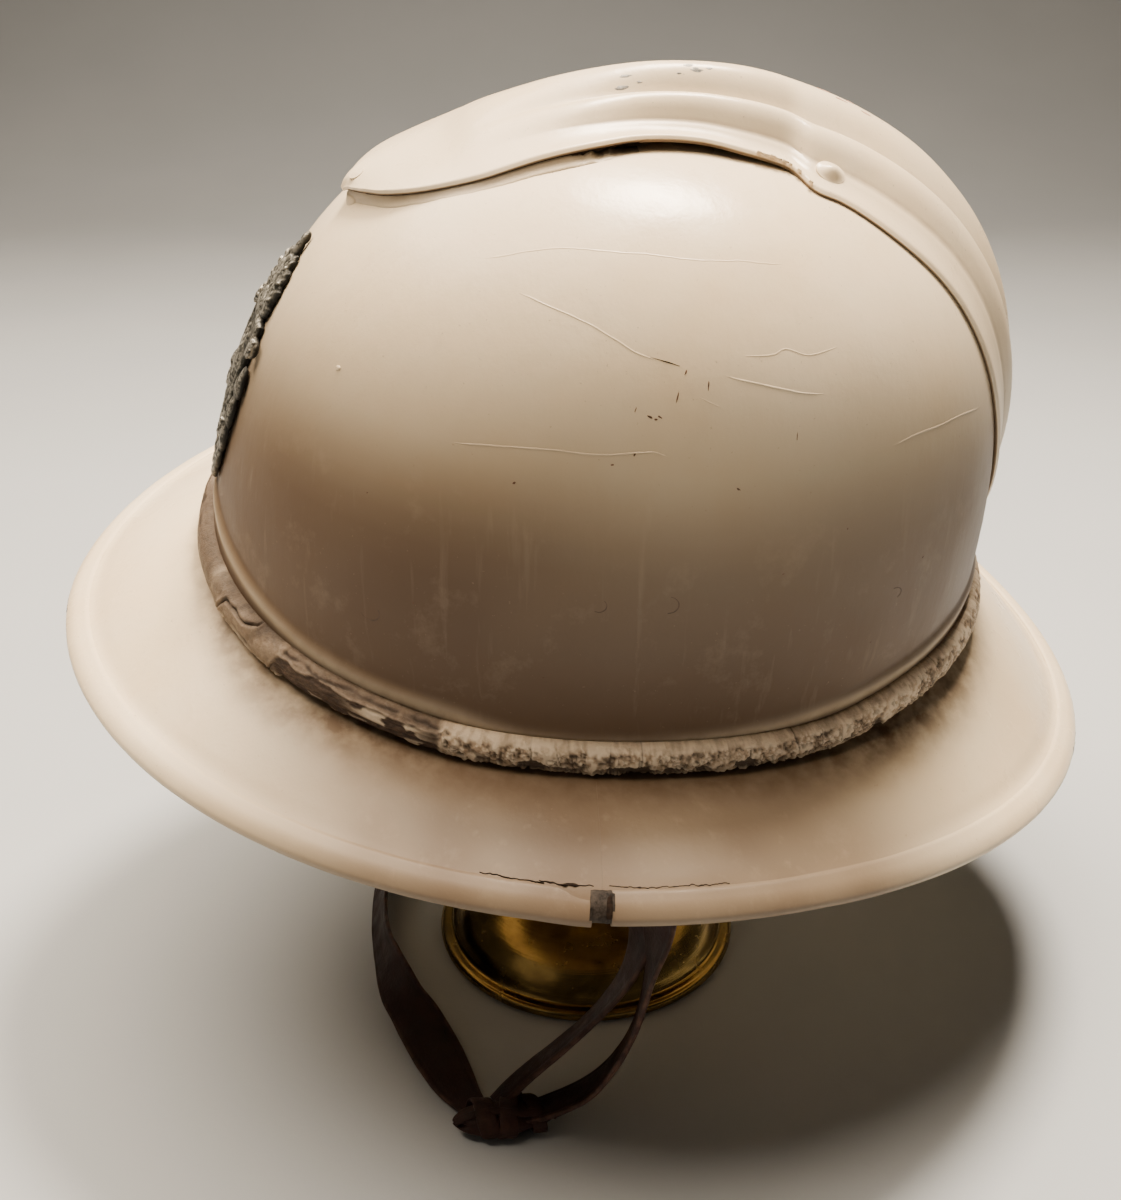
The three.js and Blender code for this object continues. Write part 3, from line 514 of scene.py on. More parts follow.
def skull_shoulder(points):
    """The skull flares out in a soft ridge over the joint, most at its front and rear."""
    turn, z = dome_turn(points), points[..., 2]
    top = side_value(SHOULDER_TOP, turn)
    swell = 0.3 + 0.8 * smoothstep(10, 42, degrees_from_side(turn))
    flare = 1 - smoothstep(top - 1.4, top + 1.4, z)
    return swell * (flare - 0.45 * (1 - smoothstep(top - 4.8, top - 1.6, z)))


def joint_dirt_and_shade(points):
    """Dirt and painted shade that darken the skull just above the joint, 0 to 1."""
    ragged = layered_noise(points, 9.0, 3, 21)
    over = points[..., 2] - side_value(WELT_TOP, dome_turn(points)) + LOWEST_WELT
    near = 1 - smoothstep(2.0, 13.0, over + 4 * ragged)
    return np.clip(near * (0.62 + 0.4 * ragged), 0, 1)


# Painted shade: how far the dome's paint is darkened to brown, by the height over the joint line.
DOME_PAINTED_SHADE = ([0, 10, 24, 40, 52, 62, 75, 90, 108],
              [1.0, 1.0, 0.985, 0.94, 0.86, 0.68, 0.34, 0.08, 0])


def dome_painted_shade(points):
    """Painted shade on the dome, 0 to 1: most low down, and in soft patches."""
    waved = points[..., 2] + 5 * layered_noise(points, 44.0, 2, 31)
    low = table_value(*DOME_PAINTED_SHADE, waved)
    patches = smoothstep(0.05, 0.7, layered_noise(points, 52.0, 2, 37))
    # The painted shade is fuller on the left side and less on the shoulder's ridge, a painted
    # highlight there.
    left = 0.62 + 0.38 * smoothstep(-0.5, -0.1, np.cos(dome_turn(points)))
    ridge = points[..., 2] - side_value(SHOULDER_TOP, dome_turn(points)) + 2.4
    left = left * (1 - 0.55 * np.exp(-(ridge / 2.0) ** 2))
    return np.clip((low + 0.06 * patches * (1 - smoothstep(60, 95, waved))) * left, 0, 1)


def joint_rise(turn):
    """How far the whole joint climbs towards the helmet's front and rear."""
    return JOINT_CLIMB * (side_value(WELT_TOP, turn) - LOWEST_WELT)


def raised(points, turn):
    """Points of the skull behind the welt, moved up with the joint, most at their foot."""
    foot = -4.0
    share = np.clip(1 - (points[..., 2] - foot) / (side_value(WELT_TOP, turn) - foot), 0, 1.05)
    moved = points.copy()
    moved[..., 2] += joint_rise(turn) * share
    return moved


def build_skull():
    """The dome's outer skin, its skirt's foot and its inner skin, from the crown and back to it."""
    turns = full_circle(360)
    ups = skull_rows()
    outer = skull_skin(turns, ups, 0.0)
    outward = dome_outward(outer)
    outer = outer + outward * (dented(outer) + skull_shoulder(outer))[..., None]
    foot = skull_skin(turns, np.zeros(1), 0.55)
    inner = skull_skin(turns, ups[::3], -SHEET)
    lip = skull_skin(turns, np.zeros(1), -SHEET + 0.1)
    skirt = []
    for ring, drop in ((foot, DOME["skirt"] - 0.3), (foot, DOME["skirt"]), (lip, DOME["skirt"])):
        skirt.append(ring - np.array([0, 0, drop]))
    rings = raised(np.concatenate([outer[::-1], *skirt, inner]), turns)
    crown, crown_inside = dome_points(np.zeros(2), np.ones(2), np.array([0.0, -SHEET]))
    points, faces = ring_solid(rings, crown, crown_inside)
    inside = np.ones(len(points))
    inside[:outer.shape[0] * len(turns)] = 0.0
    inside[-2] = 0.0
    # The skull keeps dirt and painted shade above the joint, and the dome's painted shade.
    values = {
        "dirt_and_shade": joint_dirt_and_shade(points) * (1 - inside),
        "painted_shade": dome_painted_shade(points) * (1 - inside),
        "inside": inside,
    }
    painted_piece("skull", points, faces, values, sharp=50)


# ------------------------------------------------------------------ cracks and marks in the paint
# Raised hairlines on the dome: (turn in degrees, height) from front to rear, and how high.
HAIRLINES = [
    ([(-25.6, 98.1), (-19.9, 96.7), (-14.8, 95.5), (-9.2, 93.2), (-5.5, 91.2), (-2.5, 90.2)], 0.4),
    ([(-29.1, 70.2), (-22.3, 71.5), (-15.6, 72.3), (-9.4, 72.5), (-2.8, 73.7), (-0.4, 72.8)], 0.6),
    ([(7.8, 87.8), (12.3, 86.6), (18, 84.8), (22.1, 84.1)], 0.55),
    ([(-34.9, 101.8), (-27.2, 104.3), (-19.2, 105.8), (-6.7, 106.3), (5.6, 106), (16.4, 105.9),
      (22.6, 105.3)], 0.3),
    ([(11.2, 91.3), (15.6, 91.5), (17.7, 92.4), (21.2, 91.1), (26.2, 91.9)], 0.25),
    ([(3.7, 84.1), (6.6, 82.5)], 0.3),
    ([(32.5, 71.9), (36.5, 72.7), (42.5, 72.7), (48, 72.3), (54.8, 70.7)], 0.5),
    ([(150, 64), (160, 67), (172, 66), (184, 70)], 0.4),
    ([(205, 88), (214, 86), (221, 88), (232, 84)], 0.4),
]
# Dark cracks in the same way, and how wide.
DARK_CRACKS = [([(-3.4, 90.5), (-2, 90.2), (1.2, 89.3)], 0.16)]


def wandering_line(knots, seed, spacing=0.35, sway=0.16):
    """Turns and heights along a crack through its knots, with a little sway."""
    knots = np.asarray(knots, float)
    places = run_along(knots * np.array([DOME_DEGREE, 1.0]))
    at = np.arange(0, places[-1], spacing)
    turn, z = (table_value(places, knots[:, k], at) for k in range(2))
    z = z + sway * layered_noise(noise_spot(at, 3.7 * seed), 7.0, 3, 40 + seed)
    return turn, z, at, places[-1]


def crack_mesh(knots, width, height, seed):
    """A low ridge along a line on the dome, tapering at both ends."""
    turn, z, at, length = wandering_line(knots, seed)
    middle = on_dome(turn, z)
    outward = dome_outward(middle)
    side = unit(np.cross(np.gradient(middle, axis=0), outward))
    taper = smoothstep(0, 4, at) * smoothstep(0, 4, length - at)
    spot = noise_spot(at, 9.1 * seed, 1.0)
    half = width / 2 * (0.35 + 0.65 * taper) * (1 + 0.45 * lattice_noise(spot, 2.2, 50 + seed))
    lift = height * taper + 0.02
    rise = dented(middle)
    section = [(-1, -0.25, 0), (-1, 0, 0), (-0.35, 0, 1), (0.25, 0, 1), (1, 0, 0), (1, -0.25, 0)]
    rows = [
        middle + side * (half * out)[:, None] + outward * (rise + low + lift * up)[:, None]
        for out, low, up in section
    ]
    return loft_mesh(np.stack(rows, 1))


def build_cracks():
    ridges = [crack_mesh(k, 0.4, 0.11 * w, i) for i, (k, w) in enumerate(HAIRLINES)]
    paint_marks("skull_hairlines", ridges, ivory_paint(), painted_shade=0.94)
    dark = [crack_mesh(k, w * 1.6, 0.05, 20 + i) for i, (k, w) in enumerate(DARK_CRACKS)]
    paint_marks("skull_cracks", dark, plain_finish("crack_brown"))


def lens_mesh(middle, outward, along, length, width, height, seed, sides=14):
    """A low irregular mark that hugs a surface: a closed lens with a ragged outline."""
    angles = full_circle(sides)
    spot = noise_spot(np.cos(angles) * 1.5, np.sin(angles) * 1.5, seed * 5.3)
    ragged = 0.85 + 0.42 * lattice_noise(spot, 0.8, seed)
    plan = oval_plan(outward, along, ragged * length / 2, ragged * width / 2, sides)
    rings = [
        middle + plan * share + outward * up
        for share, up in ((1.0, -0.2), (1.0, height * 0.4), (0.7, height))
    ]
    return ring_solid(rings, middle - outward * 0.2, middle + outward * height * 0.9)


def dome_mark(turn, z, length, width, height, seed, lean=0.0):
    """A mark on the dome, its length along the level line or leaning from it."""
    middle = on_dome(np.array([turn]), np.array([z]))
    outward = dome_outward(middle)[0]
    along = unit(np.cross(UP, outward))
    up = np.cross(outward, along)
    angle = math.radians(lean)
    middle = middle[0] + outward * dented(middle)[0]
    direction = along * math.cos(angle) + up * math.sin(angle)
    return lens_mesh(middle, outward, direction, length, width, height, seed)


# Chips and ticks on the dome: turn, height, length, width, lean.
DOME_CHIPS = [
    (1.9, 88.4, 1.4, 0.4, 70), (5.1, 86.3, 2.2, 0.34, 88), (0.6, 84, 2.6, 0.34, 80),
    (-3.2, 80.2, 1.5, 0.5, -20), (-2.4, 79.8, 0.9, 0.4, 0), (-1.8, 80.3, 1.2, 0.42, -30),
    (-5.2, 81.3, 1.2, 0.24, 75), (17.2, 76.7, 1.7, 0.22, 85), (-5, 73, 0.7, 0.45, 60),
    (-7.8, 70.8, 0.8, 0.45, 10), (-20.1, 64.9, 0.8, 0.5, 40), (8.7, 66.8, 1.1, 0.5, -30),
    (15, 47.5, 0.7, 0.3, 20), (24, 56, 0.5, 0.3, 50), (-31, 34, 0.6, 0.35, 0),
    (38, 43, 0.8, 0.3, 30), (-14, 21, 0.5, 0.3, 0), (8, 15, 1.2, 0.22, 5), (30, 24, 0.6, 0.3, 10),
    (-40, 55, 0.5, 0.3, 45), (160, 52, 1.4, 0.5, 20), (196, 71, 1.1, 0.4, 80), (250, 40, 0.9, 0.4, 0),
]
PIMPLE = (-52, 75.6, 1.5, 1.3)      # turn, height, length, width
# Scuffed rings on the dome: turn, height over the joint line, length, height of the ring.
SMUDGES = [
    (-37, 28.4, 4.6, 4.2), (-8, 40.4, 3.0, 3.2), (0.5, 41, 4.2, 4.0), (33, 36, 4.0, 3.0),
]


def build_marks():
    chips = [
        dome_mark(t, z, length, width, 0.05, 60 + i, lean)
        for i, (t, z, length, width, lean) in enumerate(DOME_CHIPS)
    ]
    paint_marks("skull_chips", chips, plain_finish("rust_brown"))
    pimple = dome_mark(*PIMPLE, 0.22, 90)
    paint_marks("skull_pimple", [pimple], ivory_paint(), painted_shade=0.6, sharp=None)


def build_smudges():
    """Scuffed rings where the paint has softened, as low broken ridges on the dome."""
    rings = []
    for i, (turn, z, length, height) in enumerate(SMUDGES):
        angle = np.radians(np.linspace(210 + 30 * i, 400 + 22 * i, 7))
        wide = length / 2 / DOME_DEGREE
        knots = np.stack([turn + wide * np.cos(angle), z + height / 2 * np.sin(angle)], -1)
        rings.append(crack_mesh(knots, 0.34, 0.02, 70 + i))
    paint_marks("skull_smudges", rings, plain_finish("smudge_brown"))


# ------------------------------------------------------------------ brim
BRIM_FOOT = {"inset": 2.25, "top": 4.0, "ledge": -4.6, "bend": 1.6, "climb": 0.4}


def brim_middle(turn):
    """The middle of the brim's sheet: (turns, rows, 3) from its upstand out to its edge."""
    foot = dome_points(turn, np.zeros(len(turn)), -BRIM_FOOT["inset"])
    edge = edge_points(turn)
    top, bend, ledge = foot.copy(), foot.copy(), foot.copy()
    rise = joint_rise(turn)
    top[:, 2] = BRIM_FOOT["top"] + BRIM_FOOT["climb"] * rise
    bend[:, 2] = BRIM_FOOT["ledge"] + BRIM_FOOT["bend"] + rise
    ledge[:, 2] = BRIM_FOOT["ledge"] + rise
    rows = [top, bend]
    for share in (0.04, 0.12, 0.26, 0.4, 0.56, 0.72, 0.88):
        row = ledge + (edge[:, 0] - ledge) * share
        row[:, 2] += 1.6 * math.sin(share * math.pi)
        rows.append(row)
    return smooth_line(np.stack([*rows, *np.moveaxis(edge, 1, 0)], 1), 96)


def brim_waves(points):
    return 0.22 * layered_noise(points, 46.0, 2, 12)


def brim_dirt_and_shade(points):
    """Dirt and painted shadow on the brim beside the joint, widest on its left side, 0 to 1."""
    turn = np.arctan2(points[..., 1], points[..., 0])
    wall = dome_points(turn, np.zeros(turn.shape))
    away = np.hypot(points[..., 0], points[..., 1]) - np.hypot(wall[..., 0], wall[..., 1])
    ragged = layered_noise(points, 16.0, 3, 61)
    left = smoothstep(-0.1, 0.8, np.cos(turn))
    near = 1 - smoothstep(3.5, 8.0 + 11.0 * left, away + 3 * ragged)
    return np.clip(near * (0.42 + 0.5 * left + 0.35 * ragged), 0, 1)


def brim_painted_shade(points):
    """Painted shade on the brim, 0 to 1: along its left side, in soft patches."""
    turn = np.degrees(np.arctan2(points[..., 1], points[..., 0]))
    span = smoothstep(-68, -24, turn) * (1 - smoothstep(16, 52, turn))
    return 0.84 * span * (1 + 0.25 * layered_noise(points, 38.0, 3, 63))


def brim_solid(start, end, steps):
    """The brim's sheet between two turns, with its upstand in the skull."""
    turn = np.linspace(start, end, steps)
    middle = brim_middle(turn)
    side = upper_side(middle, rim_outward(turn))
    middle = middle + side * (brim_waves(middle) * 0.6)[..., None]
    sections = np.concatenate([middle + side * 0.5, (middle - side * 0.5)[:, ::-1]], 1)
    return loft_mesh(sections, thin=True)


def build_brim():
    for name, start, end, steps in (
        ("front_visor", -math.pi - SEAM_TURN + 0.0001, SEAM_TURN - 0.0001, 210),
        ("neck_guard", SEAM_TURN + 0.0001, math.pi - SEAM_TURN - 0.0001, 260),
    ):
        points, faces = brim_solid(start, end, steps)
        # Dirt and painted shadow beside the joint, and painted shade along the left side.
        values = {"dirt_and_shade": brim_dirt_and_shade(points), "painted_shade": brim_painted_shade(points)}
        painted_piece(name, points, faces, values, sharp=40)


def edging_profile():
    """The rolled edging's section as (out, up) from the rim line, closed."""
    line = smooth_line(np.array([[(-inward, 0, up) for inward, up in EDGE_LINE]], float), 40)[0]
    line = line[:, [0, 2]]
    along = unit(np.gradient(line, axis=0))
    side = np.stack([-along[:, 1], along[:, 0]], -1)

    def offset(inward, distance):
        place = [np.interp(-inward, line[:, 0], array[:, k])
                 for array in (line, side) for k in (0, 1)]
        return np.array(place[:2]) + np.array(place[2:]) * distance

    top, under = EDGING["top_width"], EDGING["under_width"]
    tops = np.array([top, top - 0.1, top - 0.3, top - 0.6, 5.0, 4.4, 3.6, 2.8, 2.0, 1.5, 1.1])
    unders = tops[tops < under]
    over = 0.55 + smoothstep(top, top - 0.9, tops) * 0.5 + smoothstep(top - 0.9, 1.6, tops) * 0.7
    below = 0.8 + smoothstep(under, 2.2, unders) * 0.95
    tip, ahead, up = line[-1], along[-1], side[-1]
    profile = [offset(inward, distance) for inward, distance in zip(tops, over)]
    for angle in np.radians([68, 46, 23, 0, -23, -46, -68]):
        profile.append(tip + (ahead * math.cos(angle) + up * math.sin(angle)) * EDGING["roll"])
    profile += [offset(inward, -d) for inward, d in zip(unders[::-1], below[::-1])]
    profile += [offset(inward, -EDGING["inner"]) for inward in unders]
    profile.append(tip + ahead * 0.5)
    profile += [offset(inward, EDGING["inner"]) for inward in (1.4, 3.4, 5.0, top - 0.1)]
    return np.array(profile)


def swept_round_rim(turn, profile):
    """Sections of (out, up) rows set up along the rim line."""
    rim, outward = rim_points(turn), rim_outward(turn)
    level = outward[:, None, :] * profile[None, :, 0:1]
    return rim[:, None, :] + level + UP * profile[None, :, 1:2]


def build_edging():
    """The rolled strip round the rim, whose two ends drop a little beside the gap."""
    half = EDGING["gap_width"] / 2 / RIM["half_width"]
    turn = np.linspace(SEAM_TURN + half, SEAM_TURN - half + 2 * math.pi, 620)
    sections = swept_round_rim(turn, edging_profile())
    away_front = (turn[-1] - turn) * RIM["half_width"]
    away_rear = (turn - turn[0]) * RIM["half_width"]
    drop = 0.9 * (1 - smoothstep(0, 16, away_front)) + 0.2 * (1 - smoothstep(0, 9, away_rear))
    sections[..., 2] -= drop[:, None]
    sections[..., 2] += 0.12 * layered_noise(sections, 9.0, 2, 77)
    points, faces = loft_mesh(sections)
    # The edging takes the brim's painted shade.
    values = {"dirt_and_shade": np.zeros(len(points)), "painted_shade": brim_painted_shade(points)}
    painted_piece("brim_edging", points, faces, values, sharp=40)


def build_edging_gap():
    """The bare sheet edge that shows where the edging's ends part, with a dark slot beside it as
    painted shade.
    """
    half = 0.5 * EDGING["gap_width"] / RIM["half_width"] + 0.004
    turn = np.linspace(SEAM_TURN - half, SEAM_TURN + half, 60)
    profile = edging_profile()
    middle = profile.mean(0)
    sections = swept_round_rim(turn, middle + (profile - middle) * 0.9)
    rough = noise_shift(sections, 1.1, 3, 91)
    paint_marks("edging_gap_metal", [loft_mesh(sections + 0.16 * rough)],
                plain_finish("rusty_steel"), sharp=None)
    # A dark lens in the gap, standing as painted shade for a hole.
    turn = np.linspace(SEAM_TURN + 0.3 * half, SEAM_TURN + 0.8 * half, 24)
    share = np.sin(np.linspace(0, np.pi, 24)) ** 0.4
    sections = swept_round_rim(turn, middle + (profile - middle) * 0.93)
    centre = sections.mean(1, keepdims=True)
    size = np.array([1.0, 1.0, 0.66]) * (0.9 + 0.1 * share)[:, None, None]
    sections = centre + (sections - centre) * size + np.array([0, 0, 0.75])
    paint_marks("edging_gap_painted_shade", [loft_mesh(sections)], plain_finish("crack_brown"), sharp=None)


def crease_crack(first_turn, last_turn, width, seed):
    """A jagged open crack along the edging's inner edge."""
    turn = np.radians(np.arange(first_turn, last_turn, 0.08))
    at = turn * RIM["half_width"]
    spot = noise_spot(at, 4.4 * seed)
    sway = 0.5 * layered_noise(spot, 3.4, 3, seed) + 0.26 * layered_noise(spot, 0.9, 2, seed + 3)
    taper = smoothstep(0, 5, at - at[0]) * smoothstep(0, 5, at[-1] - at)
    half = width / 2 * (0.25 + 0.75 * taper) * (1 + 1.1 * layered_noise(spot, 1.0, 2, seed + 5))
    rim, outward = rim_points(turn), rim_outward(turn)
    rows = []
    for out, low in ((-1, -0.3), (-1, 0.0), (0, 0.03), (1, 0.0), (1, -0.3)):
        inward = EDGING["top_width"] - sway - out * np.maximum(half, 0.08)
        over = 0.7 + 0.53 * smoothstep(EDGING["top_width"], EDGING["top_width"] - 0.9, inward)
        up = EDGE_LINE[1][1] + EDGE_SLOPE * (inward - EDGE_LINE[1][0]) + over + low
        rows.append(rim - outward * inward[:, None] + UP * up[:, None])
    return loft_mesh(np.stack(rows, 1))


def build_crease_cracks():
    cracks = [crease_crack(-18, -12, 0.22, 81), crease_crack(-12.6, -7.5, 0.48, 82),
              crease_crack(-6.1, -3, 0.32, 84), crease_crack(-3.4, 6, 0.14, 87)]
    paint_marks("edging_cracks", cracks, plain_finish("crack_brown"))


ROLL_MIDDLE = (-1.1, -0.8)      # the middle of the rolled edge, out from the rim line and up


def rim_mark(turn_degrees, away, tilt_degrees, length, width, height, seed):
    """A mark on the rolled edge, faced by its tilt from level."""
    turn = np.radians(np.array([turn_degrees]))
    rim, outward = rim_points(turn)[0], rim_outward(turn)[0]
    along = unit(np.cross(UP, outward))
    tilt = math.radians(tilt_degrees)
    face = outward * math.cos(tilt) + UP * math.sin(tilt)
    roll = rim + outward * ROLL_MIDDLE[0] + np.array([0, 0, ROLL_MIDDLE[1]])
    return lens_mesh(roll + face * away, face, along, length, width, height, seed)


# Bare spots on the rolled edge: turn, distance from the roll's middle, tilt, length, width.
RIM_CHIPS = [
    (-86.5, 1.72, 10, 5.2, 1.6), (-84.6, 1.72, 28, 2.4, 1.2), (-88.5, 1.72, -8, 2.2, 1.0),
    (61.5, 1.72, 15, 3.6, 1.9), (63.4, 1.72, -10, 4.2, 1.5), (65.5, 1.72, 12, 1.8, 1.0),
    (5.4, 1.74, 76, 1.6, 0.9), (112, 1.72, 20, 3.0, 1.4), (171, 1.72, 5, 4.0, 1.3),
    (-132, 1.72, 12, 2.8, 1.2),
]


def build_rim_chips():
    chips = [
        rim_mark(turn, away, tilt, length, width, 0.07, 100 + i)
        for i, (turn, away, tilt, length, width) in enumerate(RIM_CHIPS)
    ]
    paint_marks("rim_chips", chips, plain_finish("bare_steel"))


# ------------------------------------------------------------------ welt of the joint
def cell_pattern(at, size, seed):
    """Distances to the nearest two of scattered middles, in sizes, and the nearest one's number."""
    scaled = at / size
    cell = np.floor(scaled).astype(np.int64)
    best = np.full(scaled.shape[:-1] + (2,), 9.0)
    number = np.zeros(scaled.shape[:-1])
    for dx in (-1, 0, 1):
        for dy in (-1, 0, 1):
            near = cell + np.array([dx, dy])
            key = scattered((near @ CELL_FACTORS[:2] + seed * 7919) & MASK, 1)
            jitter = np.stack([(key & 0xFFF), ((key >> 12) & 0xFFF)], -1) / 4095.0
            away = np.linalg.norm(near + jitter - scaled, axis=-1)
            closer = away < best[..., 0]
            best[..., 1] = np.where(closer, best[..., 0], np.minimum(best[..., 1], away))
            best[..., 0] = np.where(closer, away, best[..., 0])
            number = np.where(closer, ((key >> 5) & 0x3FF) / 1023.0, number)
    return best[..., 0], best[..., 1], number


WELT_PROFILE = [
    (0.0, -0.5), (0.42, -0.5), (0.72, -0.455), (0.9, -0.33), (0.985, -0.13), (1.0, 0.07),
    (0.93, 0.25), (0.76, 0.39), (0.48, 0.47), (0.2, 0.497), (0.0, 0.5),
]


def welt_zone(turn, first, last, soft=1.6):
    """How far a turn in degrees lies in the zone between two turns."""
    begun = smoothstep(first - soft, first + soft, turn)
    return begun * (1 - smoothstep(last - soft, last + soft, turn))


# Stretches of the welt by turns in degrees; the rest is crackled paint.
WELT_ZONES = {"smooth": (-118, -68), "flaked": (-68, -45), "bare": (-51.5, -26.2),
              "bare_rear": (152, 168), "frayed": (-38, -28)}
# Holes along the foot of the cracked paint: turn, half length in degrees, height, depth.
WELT_HOLES = [
    (-21, 0.8, 1.4, 0.4), (-14.3, 2.1, 2.1, 1.0), (-10.6, 1.6, 1.2, 0.6), (-6.6, 0.9, 1.2, 0.4),
    (-1.9, 3.1, 1.9, 1.0), (3.4, 1.3, 1.4, 0.6), (7.2, 1.2, 1.3, 0.5), (12.6, 1.8, 2.0, 1.0),
    (17.4, 0.8, 1.3, 0.5), (22, 0.6, 1.0, 0.4), (27, 1.1, 1.5, 0.9), (32.3, 0.9, 2.6, 0.9),
    (36, 0.5, 1.2, 0.5), (41, 0.6, 1.3, 0.6), (46.5, 0.7, 1.6, 0.7), (54, 0.5, 1.5, 0.5),
    (120, 1.6, 1.8, 0.8), (141, 1.2, 1.5, 0.7), (190, 2.2, 1.9, 0.9), (204, 1.1, 1.4, 0.6),
]
# The outline of the big loose flake on the left side, and of the bare leather behind it: turn
# and height over the joint line.
FLAKE_CRACK = [(-67.2, 0.4), (-67.0, 3.6), (-63.7, 10.2), (-61, 9.9), (-58.3, 9.0), (-55.9, 10.1)]
LEATHER_EDGE = [(-51.4, -2.5), (-52.6, 1.0), (-51.2, 4.5), (-48.0, 6.2), (-44.5, 5.0), (-41, 5.9)]


def away_from_line(turn, z, knots):
    """Distances in millimetres to a line through (turn, height) knots on the joint."""
    per_degree = math.radians(1) * JOINT_RADIUS
    best = np.full(turn.shape, 99.0)
    for (t0, z0), (t1, z1) in zip(knots[:-1], knots[1:]):
        ax, az = (t1 - t0) * per_degree, z1 - z0
        px, pz = (turn - t0) * per_degree, z - z0
        share = np.clip((px * ax + pz * az) / (ax * ax + az * az), 0, 1)
        best = np.minimum(best, np.hypot(px - ax * share, pz - az * share))
    return best


def crackled_relief(around, v, turn, top, flat, ragged):
    """Grains of paint with hair cracks down from a smooth band and holes along the foot."""
    bent = [0.8 * layered_noise(flat, 1.9, 2, seed) for seed in (6, 16)]
    near, second, number = cell_pattern(np.stack([around + bent[0], v + bent[1]], -1), 1.15, 5)
    seams = 1 - smoothstep(0.02, 0.34, second - near)
    seams = seams * smoothstep(-0.35, 0.25, lattice_noise(flat, 3.2, 9))
    crumbs = 0.65 * layered_noise(flat, 1.0, 2, 63) + 0.5 * layered_noise(flat, 2.4, 2, 64)
    band = smoothstep(top - 1.5, top - 0.6, v + 1.1 * ragged)
    low = 1 - smoothstep(1.4, 4.6, v + 0.8 * ragged)
    slots = np.abs(((around + 3.6 * lattice_noise(flat, 11.0, 7)) / 6.3) % 1 - 0.5) * 6.3
    slots = 1 - smoothstep(0.05, 0.2, slots + 0.16 * ragged)
    slots = slots * smoothstep(2.2, 3.4, v) * smoothstep(-0.05, 0.2, lattice_noise(flat, 5.0, 8))
    holes = np.zeros(turn.shape)
    for middle, half, height, depth in WELT_HOLES:
        wide = np.abs(turn - middle) / half
        tall = np.abs(v - 1.6 - 0.25 * height) / height
        blob = 1 - smoothstep(0.62, 0.92, np.sqrt(wide ** 2 + tall ** 2) + 0.42 * ragged)
        holes = np.maximum(holes, blob * depth)
    pits = smoothstep(0.3, 0.44, layered_noise(flat, 1.25, 2, 19)) * (0.55 + 0.45 * low)
    domes = 0.32 * (0.62 - near) - 0.3 * seams + 0.5 * crumbs + 0.2 * ragged
    height = (1 - 0.75 * band) * domes * (0.8 + 0.3 * low)
    height = height - 0.35 * slots - 0.95 * holes - 0.4 * pits * (1 - band) + 0.12 * band
    # dark: dirt low down, and painted shade in the holes, pits, slots, seams and low crumbs.
    dark = np.clip(holes * 1.2 + 0.9 * pits * (1 - band) + 0.7 * slots, 0, 1)
    dark = np.clip(dark + (0.5 + 0.35 * low) * seams * (1 - 0.8 * band) + 0.3 * low * number, 0, 1)
    dark = np.clip(dark + 0.7 * smoothstep(-0.12, -0.45, crumbs) * (1 - 0.7 * band), 0, 1)
    # lit: a painted highlight that leaves the grains' raised tops pale.
    lit = smoothstep(-0.05, 0.3, crumbs + 0.25 * (0.5 - near))
    return height, dark, np.clip(0.5 * band + 1.1 * lit * (1 - 0.6 * low), 0, 1)


def leather_relief(v, turn, top, flat, ragged):
    """Bare fibrous leather under a strip of paint whose edges lift."""
    fibres = layered_noise(flat * [0.3, 1.9, 1], 1.3, 3, 23)
    slow = layered_noise(flat * [1, 0.25, 1], 7.0, 3, 29)
    edge = top - 1.7 + 0.9 * slow + 0.5 * ragged
    strip = smoothstep(edge - 0.12, edge + 0.15, v)
    lifted = np.exp(-((v - edge - 0.3) / 0.35) ** 2)
    crack = np.exp(-((v - top + 0.7 + 0.5 * slow + 0.3 * ragged) / 0.26) ** 2)
    crack = crack * smoothstep(-0.5, -0.2, slow)
    middle = 1 - smoothstep(0.6, 2.4, np.abs(v - top + 3.4))
    frayed = smoothstep(0.0, 0.2, layered_noise(flat * [0.6, 1.5, 1], 2.8, 3, 37) + 0.25 * middle)
    frayed = frayed * (1 - 0.5 * strip) * (0.2 + 0.8 * middle)
    frayed = frayed * welt_zone(turn, *WELT_ZONES["frayed"], 3.0)
    foot = smoothstep(0.15, 0.3, layered_noise(flat * [0.5, 1.4, 1], 3.2, 3, 41)) * (v < 2.2)
    cover = np.clip(0.5 * strip + 0.8 * foot + frayed, 0, 1)
    height = 0.5 * fibres * (1 - 0.7 * strip) + 0.34 * strip + 0.4 * lifted - 0.42
    height = height - 0.6 * crack + 0.45 * frayed + 0.25 * foot
    dark = np.clip(crack + 0.6 * (1 - cover) * smoothstep(0.1, -0.4, fibres), 0, 1)
    return height, dark, cover, np.clip(frayed + 0.3 * lifted + 0.5 * foot, 0, 1)


